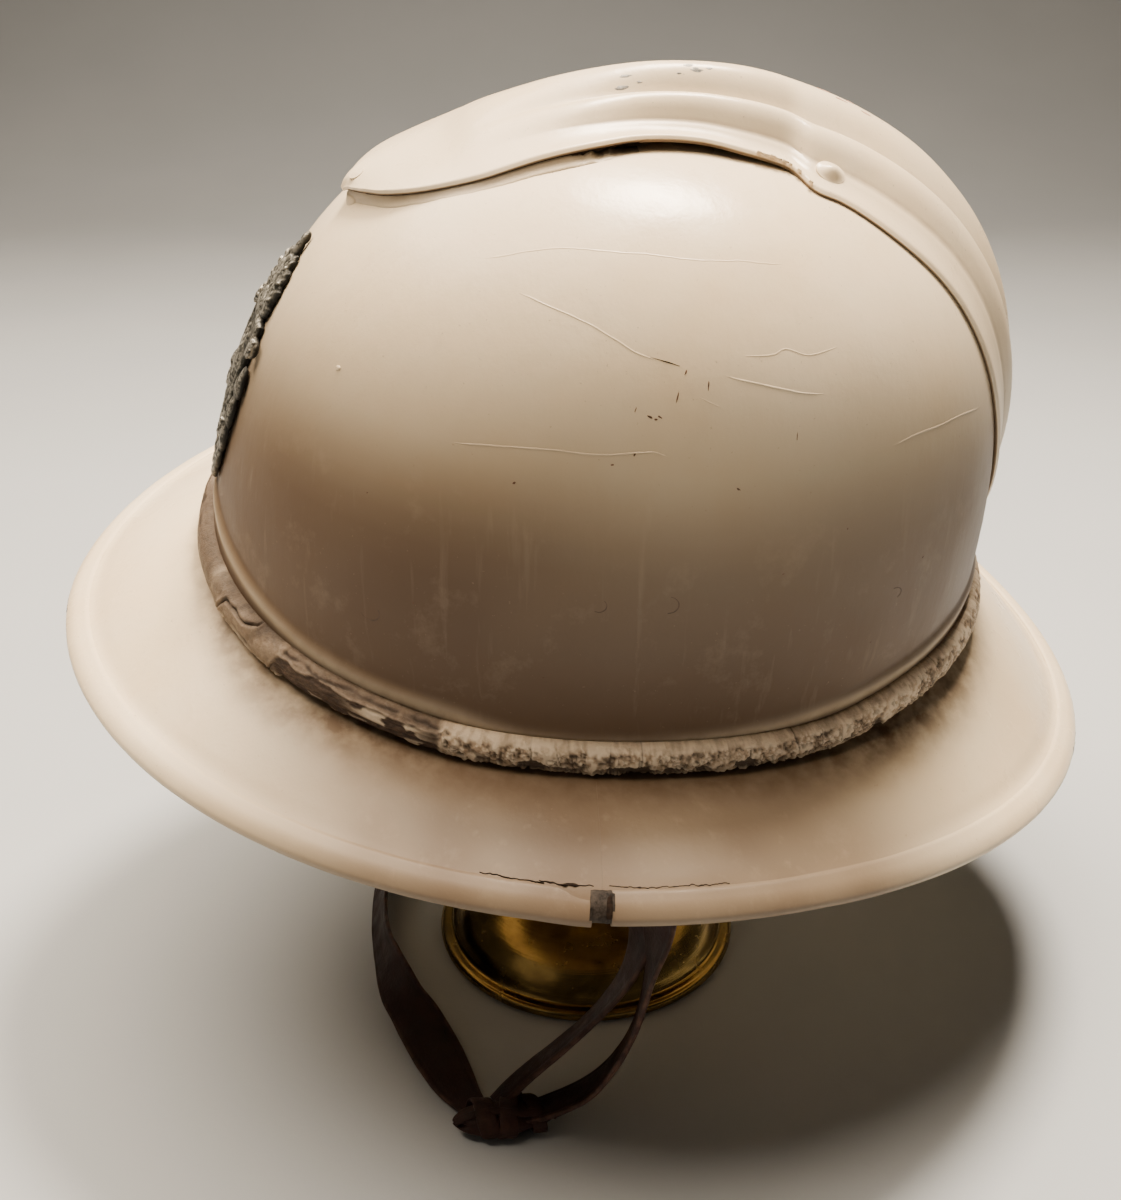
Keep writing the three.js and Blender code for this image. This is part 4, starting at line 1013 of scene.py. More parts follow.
def welt_relief(turn, around, v, top, rise):
    """How far the aged paint and leather stand off the welt's own shape, and what shows there.

    turn is in degrees; around, v, top and rise are millimetres along the joint, up from the
    welt's foot, up to its top edge, and how far the foot has climbed.
    """
    flat = noise_spot(around, v)
    ragged = layered_noise(flat, 2.6, 3, 131)
    slow = layered_noise(flat, 18.0, 2, 133)
    z = v + WELT_FOOT + rise
    smooth = welt_zone(turn, *WELT_ZONES["smooth"], 3.0)
    bare = np.maximum(welt_zone(turn, *WELT_ZONES["bare"], 0.6),
                      0.9 * welt_zone(turn, *WELT_ZONES["bare_rear"]))
    past_edge = turn - LEATHER_EDGE[0][0] - 0.35 * np.abs(z - 5) + 1.2 * ragged
    past_edge = smoothstep(-0.4, 0.4, past_edge)
    bare = np.where(turn < -45, past_edge, bare)
    flaked = welt_zone(turn, *WELT_ZONES["flaked"], 1.2) * (1 - bare)
    crackled = np.clip(1 - smooth - bare - flaked, 0, 1)

    grains, grain_dark, grain_pale = crackled_relief(around, v, turn, top, flat, ragged)
    hide, hide_dark, hide_cover, hide_pale = leather_relief(v, turn, top, flat, ragged)
    line = np.minimum(away_from_line(turn, z, FLAKE_CRACK),
                      away_from_line(turn, z, LEATHER_EDGE) + 0.15)
    line = line + 0.22 * ragged
    outline = (1 - smoothstep(0.1, 0.4, line)) * (flaked > 0.05)
    curled = np.exp(-((line - 0.75) / 0.4) ** 2)
    lumps = layered_noise(flat * [0.7, 1, 1], 5.0, 3, 53)
    curls = layered_noise(flat * [0.8, 1.1, 1], 2.2, 3, 57)
    torn_foot = smoothstep(-0.05, 0.2, curls) * (1 - smoothstep(0.8, 3.2, v + ragged))
    flake_height = 0.5 * lumps + 0.5 * torn_foot - 0.8 * outline + 0.3 * curled + 0.35 * ragged
    nicks = smoothstep(0.5, 0.56, layered_noise(flat * [0.5, 1.3, 1], 3.2, 2, 59)) * smooth

    height = crackled * grains + bare * hide + flaked * flake_height
    height = height + smooth * (0.16 * lumps + 0.07 * ragged) - 0.25 * nicks
    dark = crackled * grain_dark + bare * hide_dark + flaked * outline + 0.8 * nicks
    # Painted shade in the hollows between the flake's lumps.
    dark = np.clip(dark + 0.5 * flaked * smoothstep(-0.15, -0.5, lumps), 0, 1)
    pale = crackled * grain_pale + bare * hide_pale + flaked * torn_foot + 0.2 * slow
    paint = 1 - bare * (1 - hide_cover)
    # smooth also darkens the flaked and bare stretches: partly their own brown, partly painted shade.
    smooth = smooth + flaked * (0.7 + 0.3 * smoothstep(0.35, -0.2, lumps + 0.5 * ragged))
    smooth = np.clip(smooth + 0.75 * bare * (1 - hide_pale), 0, 1)
    return height, {"paint": paint, "dark": dark, "smooth": smooth, "pale": np.clip(pale, 0, 1)}


def welt_profile(rows):
    """The welt's plain section as shares of its depth and height, with evenly spaced rows."""
    scale = [WELT["depth"], 1, WELT["height"]]
    fine = smooth_line(np.array([[(a, 0, b) for a, b in WELT_PROFILE]], float) * scale, 400)[0]
    far = run_along(fine)
    even = np.interp(np.linspace(0, far[-1], rows), far, np.arange(float(len(fine)))).astype(int)
    return fine[even] / scale


def build_welt():
    """The bead over the joint: a smooth section that the relief moves in and out."""
    columns, rows = 2100, 46
    turn = full_circle(columns)
    wall = dome_points(turn, np.zeros(columns))
    closed = np.vstack([wall[-1:], wall, wall[:1]])
    outward = plan_outward(closed)[1:-1]
    around = np.cumsum(np.linalg.norm(np.diff(closed[:-1], axis=0), axis=1))
    profile = welt_profile(rows)
    top = side_value(WELT_TOP, turn)
    rise = joint_rise(turn)
    climb = top - (WELT["height"] / 2 + WELT["lift"]) - rise
    share = np.maximum(0, (profile[:, 2] - 0.08) / 0.42)
    base_z = profile[None, :, 2] * WELT["height"] + (WELT["lift"] + rise)[:, None]
    base_z = base_z + climb[:, None] * share[None]
    slim = profile[None, :, 0] * (1 - 0.04 * climb[:, None] * share[None])
    base_out = WELT["clearance"] + slim * WELT["depth"]
    step_out, step_z = np.gradient(base_out, axis=1), np.gradient(base_z, axis=1)
    length = np.maximum(np.hypot(step_out, step_z), 1e-9)
    face_out, face_z = step_z / length, -step_out / length
    degrees = np.degrees(turn)
    degrees = np.where(degrees > 240, degrees - 360, degrees)
    foot = rise + WELT_FOOT
    grid = np.broadcast_arrays(degrees[:, None], around[:, None], base_z - foot[:, None],
                               (top - foot)[:, None], rise[:, None])
    height, masks = welt_relief(*grid)
    held = smoothstep(0.0, 0.3, profile[:, 0])[None]
    height = np.clip(height, -0.95, 0.6) * held
    sway = 0.25 * layered_noise(wall * [1.0, 1.0, 0.0], 16.0, 2, 141)[:, None] * held
    skin = dome_points(turn[:, None], np.clip(base_z / DOME["height"], 0, 1))
    lean = np.hypot(wall[:, 0], wall[:, 1])[:, None] - np.hypot(skin[..., 0], skin[..., 1])
    lean = np.where(base_z > 0, lean, 0) * smoothstep(0.25, 0.5, profile[:, 2])[None]
    out = base_out - lean + face_out * height + sway
    points = wall[:, None, :] + outward[:, None, :] * out[..., None]
    points[..., 2] = base_z + face_z * height
    faces = [grid_faces(columns, rows, wrap_rows=True, wrap_columns=True)]
    mesh_piece("joint_welt", seated(points.reshape(-1, 3)), faces, welt_paint(),
               ["joint_welt"], masks)


# ------------------------------------------------------------------ crest
def crest_angles(count):
    """Angles from the crest's front to its rear, closer together near its ends."""
    share = np.linspace(0, 1, count)
    eased = share - np.sin(share * 2 * np.pi) / (np.pi * 3.2)
    first, last = CREST["angle"][0], CREST["angle"][-1]
    return first + (last - first) * eased


def crest_sheet():
    """Closed sections of the crest from front to rear with a rolled lip along both edges."""
    half = np.concatenate([np.linspace(0, 0.34, 12), np.linspace(0.36, 0.675, 14),
                           np.linspace(0.69, 0.93, 7), [0.95, 0.965, 0.98, 0.99, 0.997]])
    across = np.concatenate([-half[:0:-1], half])
    angle, share = np.meshgrid(crest_angles(420), across, indexing="ij")
    depth = 0.6 * smoothstep(0.955, 1.0, np.abs(share)) ** 2
    top = crest_points(angle, share, depth)
    lip = smoothstep(0.9, 0.96, np.abs(share)) * (1 - smoothstep(0.985, 1.0, np.abs(share)))
    blunt = smoothstep(-43, -40.8, angle)
    sheet = SHEET + 0.55 * lip - 0.1 * smoothstep(0.98, 1, np.abs(share))
    under = crest_points(angle, share, depth + (sheet - depth) * (0.25 + 0.75 * blunt))
    outward = dome_outward(top)
    waves = 0.16 * layered_noise(top, 26.0, 2, 151)
    top = top + outward * waves[..., None]
    under = under + outward * waves[..., None]
    return np.concatenate([top, under[:, ::-1]], 1), across


def build_crest():
    """The pressed crest: dirt and painted shade in its ribs' creases, painted shade towards the rear,
    a dull inside.
    """
    sections, across = crest_sheet()
    columns = len(across)
    points, faces = loft_mesh(sections, thin=True)
    crease = np.exp(-((np.abs(across) - 0.355) / 0.02) ** 2)
    crease = crease + 0.8 * np.exp(-((np.abs(across) - 0.688) / 0.02) ** 2)
    ribbed = smoothstep(-22, -4, crest_angles(len(sections)))[:, None]
    row = np.concatenate([0.5 * crease, np.zeros(columns)])
    inside = np.concatenate([np.zeros(columns), np.ones(columns)])
    # Dirt and painted shade in the creases and on the inside; painted shade towards the rear.
    dirt_and_shade = 0.8 * (ribbed * row + inside)
    values = {"dirt_and_shade": dirt_and_shade, "inside": np.tile(inside, len(sections)),
              "painted_shade": 0.24 * smoothstep(15, 75, np.repeat(crest_angles(len(sections)), len(row)))}
    painted_piece("crest", points, faces, values, sharp=40)


def crest_foot_line(rows, angle, side, half):
    """A strip along the crest's edge from rows of (out from the edge, lift), plain or varying."""
    sections = []
    for out, lift in rows:
        skin = dome_at(side * (half + out), angle)
        lift = np.broadcast_to(lift, angle.shape)
        sections.append(skin + dome_outward(skin) * lift[:, None])
    return loft_mesh(np.stack(sections, 1))


def paint_fillet(middle, outward, along, length, width, height, sides=48):
    """A smooth low mound of paint on an oval plan."""
    plan = oval_plan(outward, along, length / 2, width / 2, sides)
    rings = [middle + plan * share + outward * (height * (1 - share * share) - 0.3)
             for share in (1.0, 0.9, 0.75, 0.55, 0.3)]
    return ring_solid(rings, middle - outward * 0.8, middle + outward * (height - 0.3))


# Angles from upright of the paint along the crest's front edges.
CREST_JOINT = {"start": -43.4, "full": -42.2, "mound": -41.9, "split": -41.4, "end": -5.0}


def build_crest_joint():
    """Paint that bridges the crest's front edges and the dome, torn open under the edge."""
    angle = np.linspace(CREST_JOINT["start"], CREST_JOINT["end"], 420)
    ahead = smoothstep(CREST_JOINT["start"] - 0.1, CREST_JOINT["full"], angle)
    half = crest_value("half_width", angle)
    under = crest_value("vent", angle) - 0.3
    walls, cracks = [], []
    for side in (1, -1):
        ragged = layered_noise(noise_spot(angle * 2.0, side * 3.0), 2.6, 4, 171)
        kept = 1 - smoothstep(-15, -7, angle + 3 * ragged)
        top = np.maximum(under + 0.5, 0.5) * kept * ahead
        walls.append(crest_foot_line([
            (-2.6, -0.4), (-2.4, 0.8 * top), (-1.5, top), (-0.5, 0.95 * top),
            (0.1 * ragged + 0.1, 0.8 * top), (0.2 * ragged + 0.7 * ahead, 0.48 * top - 0.06),
            ((0.3 * ragged + 1.7) * ahead, 0.18 * top - 0.12),
            ((0.4 * ragged + 3.4) * ahead, -0.32), (2.2, -0.8)], angle, side, half))
        split = angle > CREST_JOINT["split"]
        open_ends = smoothstep(CREST_JOINT["split"], -38.5, angle) * (1 - smoothstep(-12, -8, angle))
        width = np.clip(0.4 + 0.9 * ragged, 0.02, 1.1) * open_ends
        low = under + 0.3 - width
        cracks.append(crest_foot_line([
            (-1.0, (under + 0.45)[split]), (-0.12, (under + 0.4)[split]),
            ((0.04 + 0.15 * ragged)[split], low[split]), (-1.0, low[split] - 0.05)],
            angle[split], side, half[split]))
    tip = dome_at(np.zeros(1), np.array([CREST_JOINT["mound"]]))
    across = np.array([1.0, 0.0, 0.0])
    walls.append(paint_fillet(tip[0], dome_outward(tip)[0], across, 11.0, 8.0, 2.7))
    points, faces = joined_meshes(walls)
    # Dirt and painted shade on the paint under the crest's lip, none where it meets the dome, a
    # little on the mound.
    rows = np.array([1, 1, 1, 1, 1, 0.75, 0.3, 0, 0])
    lip_dirt_and_shade = np.concatenate([np.tile(rows, len(angle)), [0, 0]] * 2)
    lip_dirt_and_shade = np.append(lip_dirt_and_shade, np.full(len(points) - len(lip_dirt_and_shade), 0.12))
    mesh_piece("crest_paint_joint", seated(points), faces, ivory_paint(),
               values={"dirt_and_shade": 0.4 * lip_dirt_and_shade, "painted_shade": 0.4 * lip_dirt_and_shade})
    paint_marks("crest_joint_crack", cracks, plain_finish("crack_brown"))


def crest_frame(angle, share):
    """Middle, outward and lengthwise directions on the crest's skin."""
    place = [crest_points(np.array([a]), np.array([s]))[0]
             for a, s in ((angle, share), (angle + 1, share), (angle, share + 0.03))]
    along = unit(place[1] - place[0])
    outward = unit(np.cross(place[2] - place[0], along))
    if outward @ dome_outward(place[0][None])[0] < 0:
        outward = -outward
    return place[0], outward, unit(along - outward * (along @ outward))


SIDE_RIVET = {"angle": 20.7, "out": 22.0}       # angle from upright, distance from the middle


def build_rivets():
    """Four flat-domed rivets that hold the crest."""
    angle, out = SIDE_RIVET["angle"], SIDE_RIVET["out"]
    share = out / crest_value("half_width", angle)
    for name, angle, share, radius, height in (
        ("crest_rivet_front", -40.1, 0.3, 2.0, 0.16), ("crest_rivet_rear", 85.0, 0.0, 3.8, 1.5),
        ("crest_rivet_left", angle, share, 3.7, 1.6),
        ("crest_rivet_right", angle, -share, 3.7, 1.6),
    ):
        middle, outward, along = crest_frame(angle, share)
        reach = np.linspace(0, 1, 16)[1:]
        lift = height * (1 - smoothstep(0.0, 1.06, reach)) ** 0.85
        plan = oval_plan(outward, along, radius, radius * 0.82, 40)
        rings = [middle + plan * share + outward * (up + 0.1)
                 for share, up in [*zip(reach, lift), (1.0, -0.5)]]
        points, faces = ring_solid(rings, middle + outward * (height + 0.1), middle - outward * 0.5)
        painted_piece(name, points, faces, None, sharp=60)


def crest_mark(angle, share, length, width, height, seed):
    middle, outward, along = crest_frame(angle, share)
    return lens_mesh(middle, outward, along, length, width, height, seed)


# Chips on the crest: angle from upright, share of the half width, length, width.
CREST_CHIPS = [
    (-6.0, 0.2, 3.0, 0.9), (-6.6, 0.3, 3.4, 1.5), (-5.2, 0.4, 1.6, 0.7), (-4.2, 0.27, 1.4, 0.6),
    (2.4, 0.1, 2.6, 1.1), (3.4, 0.16, 3.0, 1.2), (5.0, 0.13, 2.0, 0.8), (1.0, 0.2, 1.2, 0.6),
    (31, -0.3, 3.0, 1.0), (58, 0.05, 2.2, 0.9), (12, -0.25, 2.0, 0.8),
]
# Lumps of paint along the left edge where the flange widens: angle, share, length, width.
CREST_LUMPS = [
    (10.9, 0.99, 1.4, 0.7), (11.9, 1.0, 1.9, 0.9), (12.8, 0.985, 1.2, 0.8), (13.5, 1.0, 2.0, 1.0),
    (14.5, 0.99, 1.5, 1.1), (15.2, 1.0, 1.2, 0.7), (16.3, 0.99, 1.6, 0.9), (17.6, 0.995, 1.4, 0.8),
]
# Dark crevices between the lumps, and red scuffs on the crest's ridge, by the same numbers.
CREST_CREVICES = [
    (11.4, 0.975, 1.8, 0.3), (12.4, 0.97, 1.5, 0.28), (13.1, 0.965, 1.3, 0.3),
    (14.1, 0.97, 2.0, 0.34), (15.0, 0.965, 1.1, 0.26),
]
CREST_SCUFFS = [
    (20.5, -0.02, 4.2, 0.7), (22.5, 0.05, 3.6, 0.8), (24.0, 0.0, 2.4, 0.6), (26.0, 0.08, 2.8, 0.9),
]


def build_crest_marks():
    for name, spots, material, height, first_seed in (
        ("crest_chips", CREST_CHIPS, plain_finish("bare_steel"), 0.05, 160),
        ("crest_scuffs", CREST_SCUFFS, plain_finish("scuff_red"), 0.05, 180),
        ("crest_lumps", CREST_LUMPS, ivory_paint(), 0.45, 190),
        ("crest_crevices", CREST_CREVICES, plain_finish("crack_brown"), 0.06, 200),
    ):
        marks = [crest_mark(*spot, height, first_seed + i) for i, spot in enumerate(spots)]
        paint_marks(name, marks, material)


# ------------------------------------------------------------------ badge on the front
# Its middle by the angle from upright, and the sizes that its flat parts are laid out with.
BADGE = {
    "middle_angle": -67.5, "bend_radius": 100.0, "plate": 1.2, "narrowing": 0.8, "relief": 0.64,
    "shield_drop": -9.0, "shield_half": 15.0, "shield_height": 36.0, "voxel": 0.34,
}


def egg(half_sizes, middle, turn_degrees=0.0, rows=9, columns=14):
    """An ellipsoid, turned in the badge's plane."""
    rise = np.linspace(-np.pi / 2, np.pi / 2, rows + 2)[1:-1]
    turn = full_circle(columns)
    rise, turn = np.meshgrid(rise, turn, indexing="ij")
    ball = np.stack([np.cos(rise) * np.cos(turn), np.cos(rise) * np.sin(turn), np.sin(rise)], -1)
    points, faces = ring_solid(ball, (0, 0, -1), (0, 0, 1))
    angle = math.radians(turn_degrees)
    spin = np.array([[math.cos(angle), math.sin(angle), 0],
                     [-math.sin(angle), math.cos(angle), 0], [0, 0, 1]])
    return points * half_sizes @ spin + middle, faces


def plate_of(outline, low, high):
    """A flat plate with an outline of (x, y) rows that its middle can see."""
    outline = np.asarray(outline, float)
    level = np.ones((len(outline), 1))
    sections = np.stack([np.hstack([outline, level * z]) for z in (low, high)])
    return loft_mesh(sections)


def leaf(length, width, height, x, y, turn_degrees, lobes=2):
    """A leaf or petal of side by side lobes, so that it has veins."""
    angle = math.radians(turn_degrees)
    across = np.array([math.cos(angle), math.sin(angle), 0])
    parts = []
    for shift in np.linspace(-0.5, 0.5, lobes) * width * 0.52:
        reach = length / 2 * (1 - 0.5 * abs(shift) / width)
        half = (width / (lobes + 0.6), reach, height)
        middle = np.array([x, y, BADGE["plate"] * 0.7]) + across * shift
        parts.append(egg(half, middle, turn_degrees))
    return parts


def shield_outline(half_width, height):
    """Points round a shield: straight at the top, curved to a point below."""
    t = np.linspace(0, 1, 9)[1:]
    shoulder = height * 0.05
    curve_x = (1 - t) ** 2 * half_width + 2 * t * (1 - t) * half_width
    curve_y = (1 - t) ** 2 * shoulder - 2 * t * (1 - t) * height * 0.36 - t ** 2 * height / 2
    right = [(half_width, height / 2), (half_width, shoulder), *zip(curve_x, curve_y)]
    left = [(-x, y) for x, y in right[::-1][1:]]
    return np.array([*right, *left])


def shield_parts():
    """A plate with a beaded edge, a boss in its middle and petals round it."""
    half, height, drop = (BADGE[key] for key in ("shield_half", "shield_height", "shield_drop"))
    outline = shield_outline(half, height) + [0, drop]
    parts = [plate_of(outline, 0.0, 1.9)]
    closed = np.vstack([outline, outline[:1]])
    places = run_along(closed)
    for at in np.arange(0, places[-1], 1.1):
        x, y = (np.interp(at, places, closed[:, k]) for k in range(2))
        parts.append(egg((1.15, 1.15, 1.3), (x * 0.93, (y - drop) * 0.94 + drop, 1.7), 0, 5, 8))
    parts.append(egg((6.5, 8.0, 2.0), (0, drop + 2, 1.9)))
    parts.append(egg((2.6, 3.4, 2.6), (0, drop + 3, 2.1)))
    for k in range(8):
        angle = math.radians(45 * k + 20)
        middle = (9.4 * math.cos(angle), drop + 1 + 11 * math.sin(angle) * 0.9, 1.9)
        parts.append(egg((1.5, 2.4, 1.1), middle, 45 * k - 70))
    return parts


def branch_point(side, share, shift=0.0):
    """A place along one branch of the wreath, from its foot up."""
    angle = math.radians(-88 + share * 106)
    x = 4 + (15.5 + shift) * math.cos(angle)
    return side * x, BADGE["shield_drop"] + (23 + shift) * math.sin(angle)


def wreath_parts(side):
    """One branch of the wreath: its beaded stem, its leaves and its two flowers."""
    parts = []
    for share in np.linspace(0, 1, 26):
        x, y = branch_point(side, share)
        parts.append(egg((1.3, 1.9, 1.2), (x, y, 1.0), 0, 5, 8))
    for i in range(6):
        share = (i + 0.6) / 6
        x, y = branch_point(side, share, 0.8)
        parts += leaf(9.5, 5.2, 2.1, x, y, side * (-76 + share * 110), 2)
    for arm_x, knob_x, y in ((16.5, 20.5, 5.0), (14.0, 17.5, -17.5)):
        parts.append(egg((4.6, 1.5, 1.5), (side * arm_x, y, 1.2)))
        parts.append(egg((2.3, 2.3, 2.3), (side * knob_x, y, 2.0)))
        for turn in range(6):
            angle = math.radians(60 * turn)
            middle = (side * knob_x + 1.7 * math.cos(angle), y + 1.7 * math.sin(angle), 3.3)
            parts.append(egg((0.9, 0.9, 0.9), middle, 0, 5, 8))
    return parts


def fan_parts():
    """The fan of petals over the shield, with beads between them and a tip."""
    fan_y = BADGE["shield_drop"] + BADGE["shield_height"] / 2 + 1
    parts = []
    for i in range(9):
        lean = (i / 8 - 0.5) * 156
        reach = 9.5 - abs(lean) / 40
        x = -math.sin(math.radians(lean)) * reach
        y = fan_y + math.cos(math.radians(lean)) * reach
        parts += leaf(17 - abs(lean) / 15, 4.9, 2.3 + 0.3 * (i % 2), x, y, lean, 3)
        for share in (0.3, 0.62, 0.92, 1.2):
            bead_x = -math.sin(math.radians(lean + 9)) * reach * share * 1.25
            bead_y = fan_y + math.cos(math.radians(lean + 9)) * reach * share * 1.25
            parts.append(egg((0.95, 1.2, 1.0), (bead_x, bead_y, 2.7), lean, 5, 8))
    parts += leaf(8, 11, 3.2, 0, fan_y, 0, 3)
    parts.append(egg((1.6, 4.0, 1.7), (0, fan_y + 15.5, 1.6)))
    parts.append(egg((1.5, 2.0, 1.7), (0, fan_y + 18.6, 1.6)))
    return parts


def fused(points, faces, voxel):
    """The outer skin of overlapping solids, as (points, faces)."""
    rough = bpy.data.objects.new("badge_rough", raw_mesh("badge_rough", points, faces))
    bpy.context.scene.collection.objects.link(rough)
    remesh = rough.modifiers.new("skin", "REMESH")
    remesh.mode = "VOXEL"
    remesh.voxel_size = voxel
    skin = rough.evaluated_get(bpy.context.evaluated_depsgraph_get()).to_mesh()
    co = np.empty(len(skin.vertices) * 3, np.float32)
    skin.vertices.foreach_get("co", co)
    corner = np.empty(len(skin.loops), np.int32)
    skin.loops.foreach_get("vertex_index", corner)
    bpy.data.objects.remove(rough)
    return co.reshape(-1, 3).astype(float), [corner.reshape(-1, 4)]


def build_badge():
    """The badge's parts as one worn casting, bent on to the front of the dome."""
    drop = BADGE["shield_drop"] - BADGE["shield_height"] / 2
    parts = shield_parts() + wreath_parts(1) + wreath_parts(-1) + fan_parts()
    parts += leaf(8, 4.4, 2.0, 0, drop - 3, 0)
    parts.append(egg((1.4, 2.2, 1.6), (0, drop - 6.4, 1.3)))
    points, faces = fused(*joined_meshes(parts), BADGE["voxel"])
    pitted = layered_noise(points, 2.2, 3, 211)
    # worn: rubbed metal on the raised parts, also standing in for their highlights as painted
    # highlight.
    worn = smoothstep(1.4, 3.2, points[:, 2] + 1.1 * layered_noise(points, 3.0, 2, 213))
    hollow = 1 - smoothstep(0.9, 2.4, points[:, 2] + 0.5 * pitted)
    points[:, 2] = np.maximum(points[:, 2] + 0.3 * pitted, 0.0)
    angle = BADGE["middle_angle"] + np.degrees(points[:, 1] / BADGE["bend_radius"])
    out = points[:, 0] * BADGE["narrowing"]
    height = 0.3 + points[:, 2] * BADGE["relief"]
    flat = dome_at(np.zeros(len(points)), angle)
    flat = flat + dome_outward(flat) * height[:, None]
    flat[:, 0] += out
    skin = dome_at(out, angle)
    bent = flat * 0.35 + (skin + dome_outward(skin) * height[:, None]) * 0.65
    mesh_piece("front_badge", seated(bent), faces, badge_pewter(),
               ["front_badge"], {"worn": worn, "hollow": hollow})


# ------------------------------------------------------------------ lugs and chin strap
LUG = {
    "face_x": 86.2, "middle_y": 2.0, "width": 21.0, "top": 7.0, "bottom": -16.0, "thickness": 1.6,
    "slot_width": 16.0, "slot_height": 5.2, "bar": 2.0,
}


def rounded_rectangle(half_width, low, high, count=96, power=9.0):
    """Points round a rectangle with round corners, by their direction from its middle."""
    angle = full_circle(count)
    half = (high - low) / 2
    reach = (np.abs(np.cos(angle)) ** power + np.abs(np.sin(angle)) ** power) ** (-1 / power)
    y = np.clip(np.cos(angle) * reach, -1, 1) * half_width
    return np.stack([y, np.sin(angle) * reach * half + (low + high) / 2], -1)


def build_lugs():
    """The plates inside the brim whose slots hold the strap."""
    slot_low = LUG["bottom"] + LUG["bar"]
    outer = rounded_rectangle(LUG["width"] / 2, LUG["bottom"], LUG["top"])
    slot = rounded_rectangle(LUG["slot_width"] / 2, slot_low, slot_low + LUG["slot_height"])
    for name, side in (("strap_lug_left", 1), ("strap_lug_right", -1)):
        rings = []
        half = LUG["thickness"] / 2
        for outline, grow, depth in (
            (outer, -0.5, half), (outer, -0.12, half - 0.12), (outer, 0, half - 0.4),
            (outer, 0, -half + 0.4), (outer, -0.5, -half), (slot, 0.4, -half),
            (slot, 0, -half + 0.4), (slot, 0, half - 0.4), (slot, 0.4, half),
        ):
            middle = outline.mean(0)
            plan = outline + unit(outline - middle) * grow
            x = np.full(len(plan), LUG["face_x"] - half + depth) * side
            rings.append(np.stack([x, plan[:, 0] + LUG["middle_y"], plan[:, 1]], -1))
        sections = np.stack(rings)
        faces = [grid_faces(len(rings), sections.shape[1], wrap_rows=True, wrap_columns=True)]
        mesh_piece(name, seated(sections.reshape(-1, 3)), faces, lug_steel(),
                   [name], sharp=35)


STRAP = {"width": 13.5, "thickness": 1.8, "turn_radius": 3.0, "tail": 26.0, "lowest": 0.35}
# Routes in the row frame: x, y, z, yaw, roll and the share of the width left.
NEAR_INNER = [
    (78, -36.5, 5.6, 88, -8, 0.5), (74, -29.3, 9.4, 88, -18, 0.75),
    (71.5, -17.9, 17.4, 88, -24, 0.95), (70.5, -8.6, 26, 86, -26, 1),
    (70, -1.2, 36.5, 80, -22, 1), (70, 3, 50, 66, -10, 1), (70, 3.6, 72, 24, 0, 1),
]
NEAR_OUTER = [
    (77, 4.4, 82, 18, 0, 1), (80, 5.4, 62, 56, 10, 1), (81.5, 3.6, 48, 78, 20, 1),
    (82.5, 0.4, 33, 86, 24, 1), (83, -4.6, 21.6, 90, 24, 1), (83, -11.6, 12.8, 90, 20, 0.95),
    (82.5, -21.6, 7.2, 90, 12, 0.75), (82, -32, 4, 90, 4, 0.5),
]
FAR_RUN = [
    (-93, 3, 112, 6, 0, 1), (-87, -5, 90, 34, 0, 1), (-76, -19, 62, 58, 0, 1),
    (-61, -37, 36, 60, 10, 1), (-43, -54, 18, 44, 30, 1), (-26, -63, 9.4, 22, 54, 1),
    (-8, -66, 7.4, 6, 68, 1), (13, -65.2, 7.2, -8, 66, 1), (31, -61, 6.2, -14, 46, 1),
    (43.5, -55.6, 4.2, -18, 24, 1), (56, -50.6, 2.4, -16, 8, 1), (68, -46.2, 2, -18, 0, 0.8),
    (78.5, -41.4, 3, -20, 0, 0.5),
]
KNOT = {"middle": (81.5, -34.5, 4.3), "half": (6.4, 13.5, 4.0), "low": 0.32, "top": 9.4}


def lug_turn(side):
    """Rows of a route half round the lower bar of a lug."""
    bar = np.array([side * (LUG["face_x"] - LUG["thickness"] / 2), LUG["middle_y"],
                    LUG["bottom"] + LUG["bar"] / 2])
    bar = seated(bar) / MM
    rows = []
    for degrees in (0, 45, 90, 135, 180):
        angle = math.radians(degrees)
        x = bar[0] - side * STRAP["turn_radius"] * math.cos(angle)
        rows.append((x, bar[1], bar[2] + STRAP["turn_radius"] * math.sin(angle), 0, 0, 1))
    return rows


def route_line(rows, spacing=0.7):
    """Points along a route by centripetal Catmull-Rom, with the rows' places there."""
    points = np.asarray(rows, float)[:, :3]
    ends = [2 * points[0] - points[1]], [2 * points[-1] - points[-2]]
    padded = np.vstack([ends[0], points, ends[1]])
    line, places = [], []
    for i in range(len(points) - 1):
        p0, p1, p2, p3 = padded[i:i + 4]
        t1, t2, t3 = (np.linalg.norm(b - a) ** 0.5 for a, b in ((p0, p1), (p1, p2), (p2, p3)))
        m1 = ((p1 - p0) / t1 - (p2 - p0) / (t1 + t2) + (p2 - p1) / t2) * t2
        m2 = ((p2 - p1) / t2 - (p3 - p1) / (t2 + t3) + (p3 - p2) / t3) * t2
        count = max(3, int(np.linalg.norm(p2 - p1) / spacing))
        t = np.linspace(0, 1, count, endpoint=i == len(points) - 2)[:, None]
        line.append(cubic_piece(t, p1, p2, m1, m2))
        places.append(i + t[:, 0])
    return np.vstack(line), np.concatenate(places)


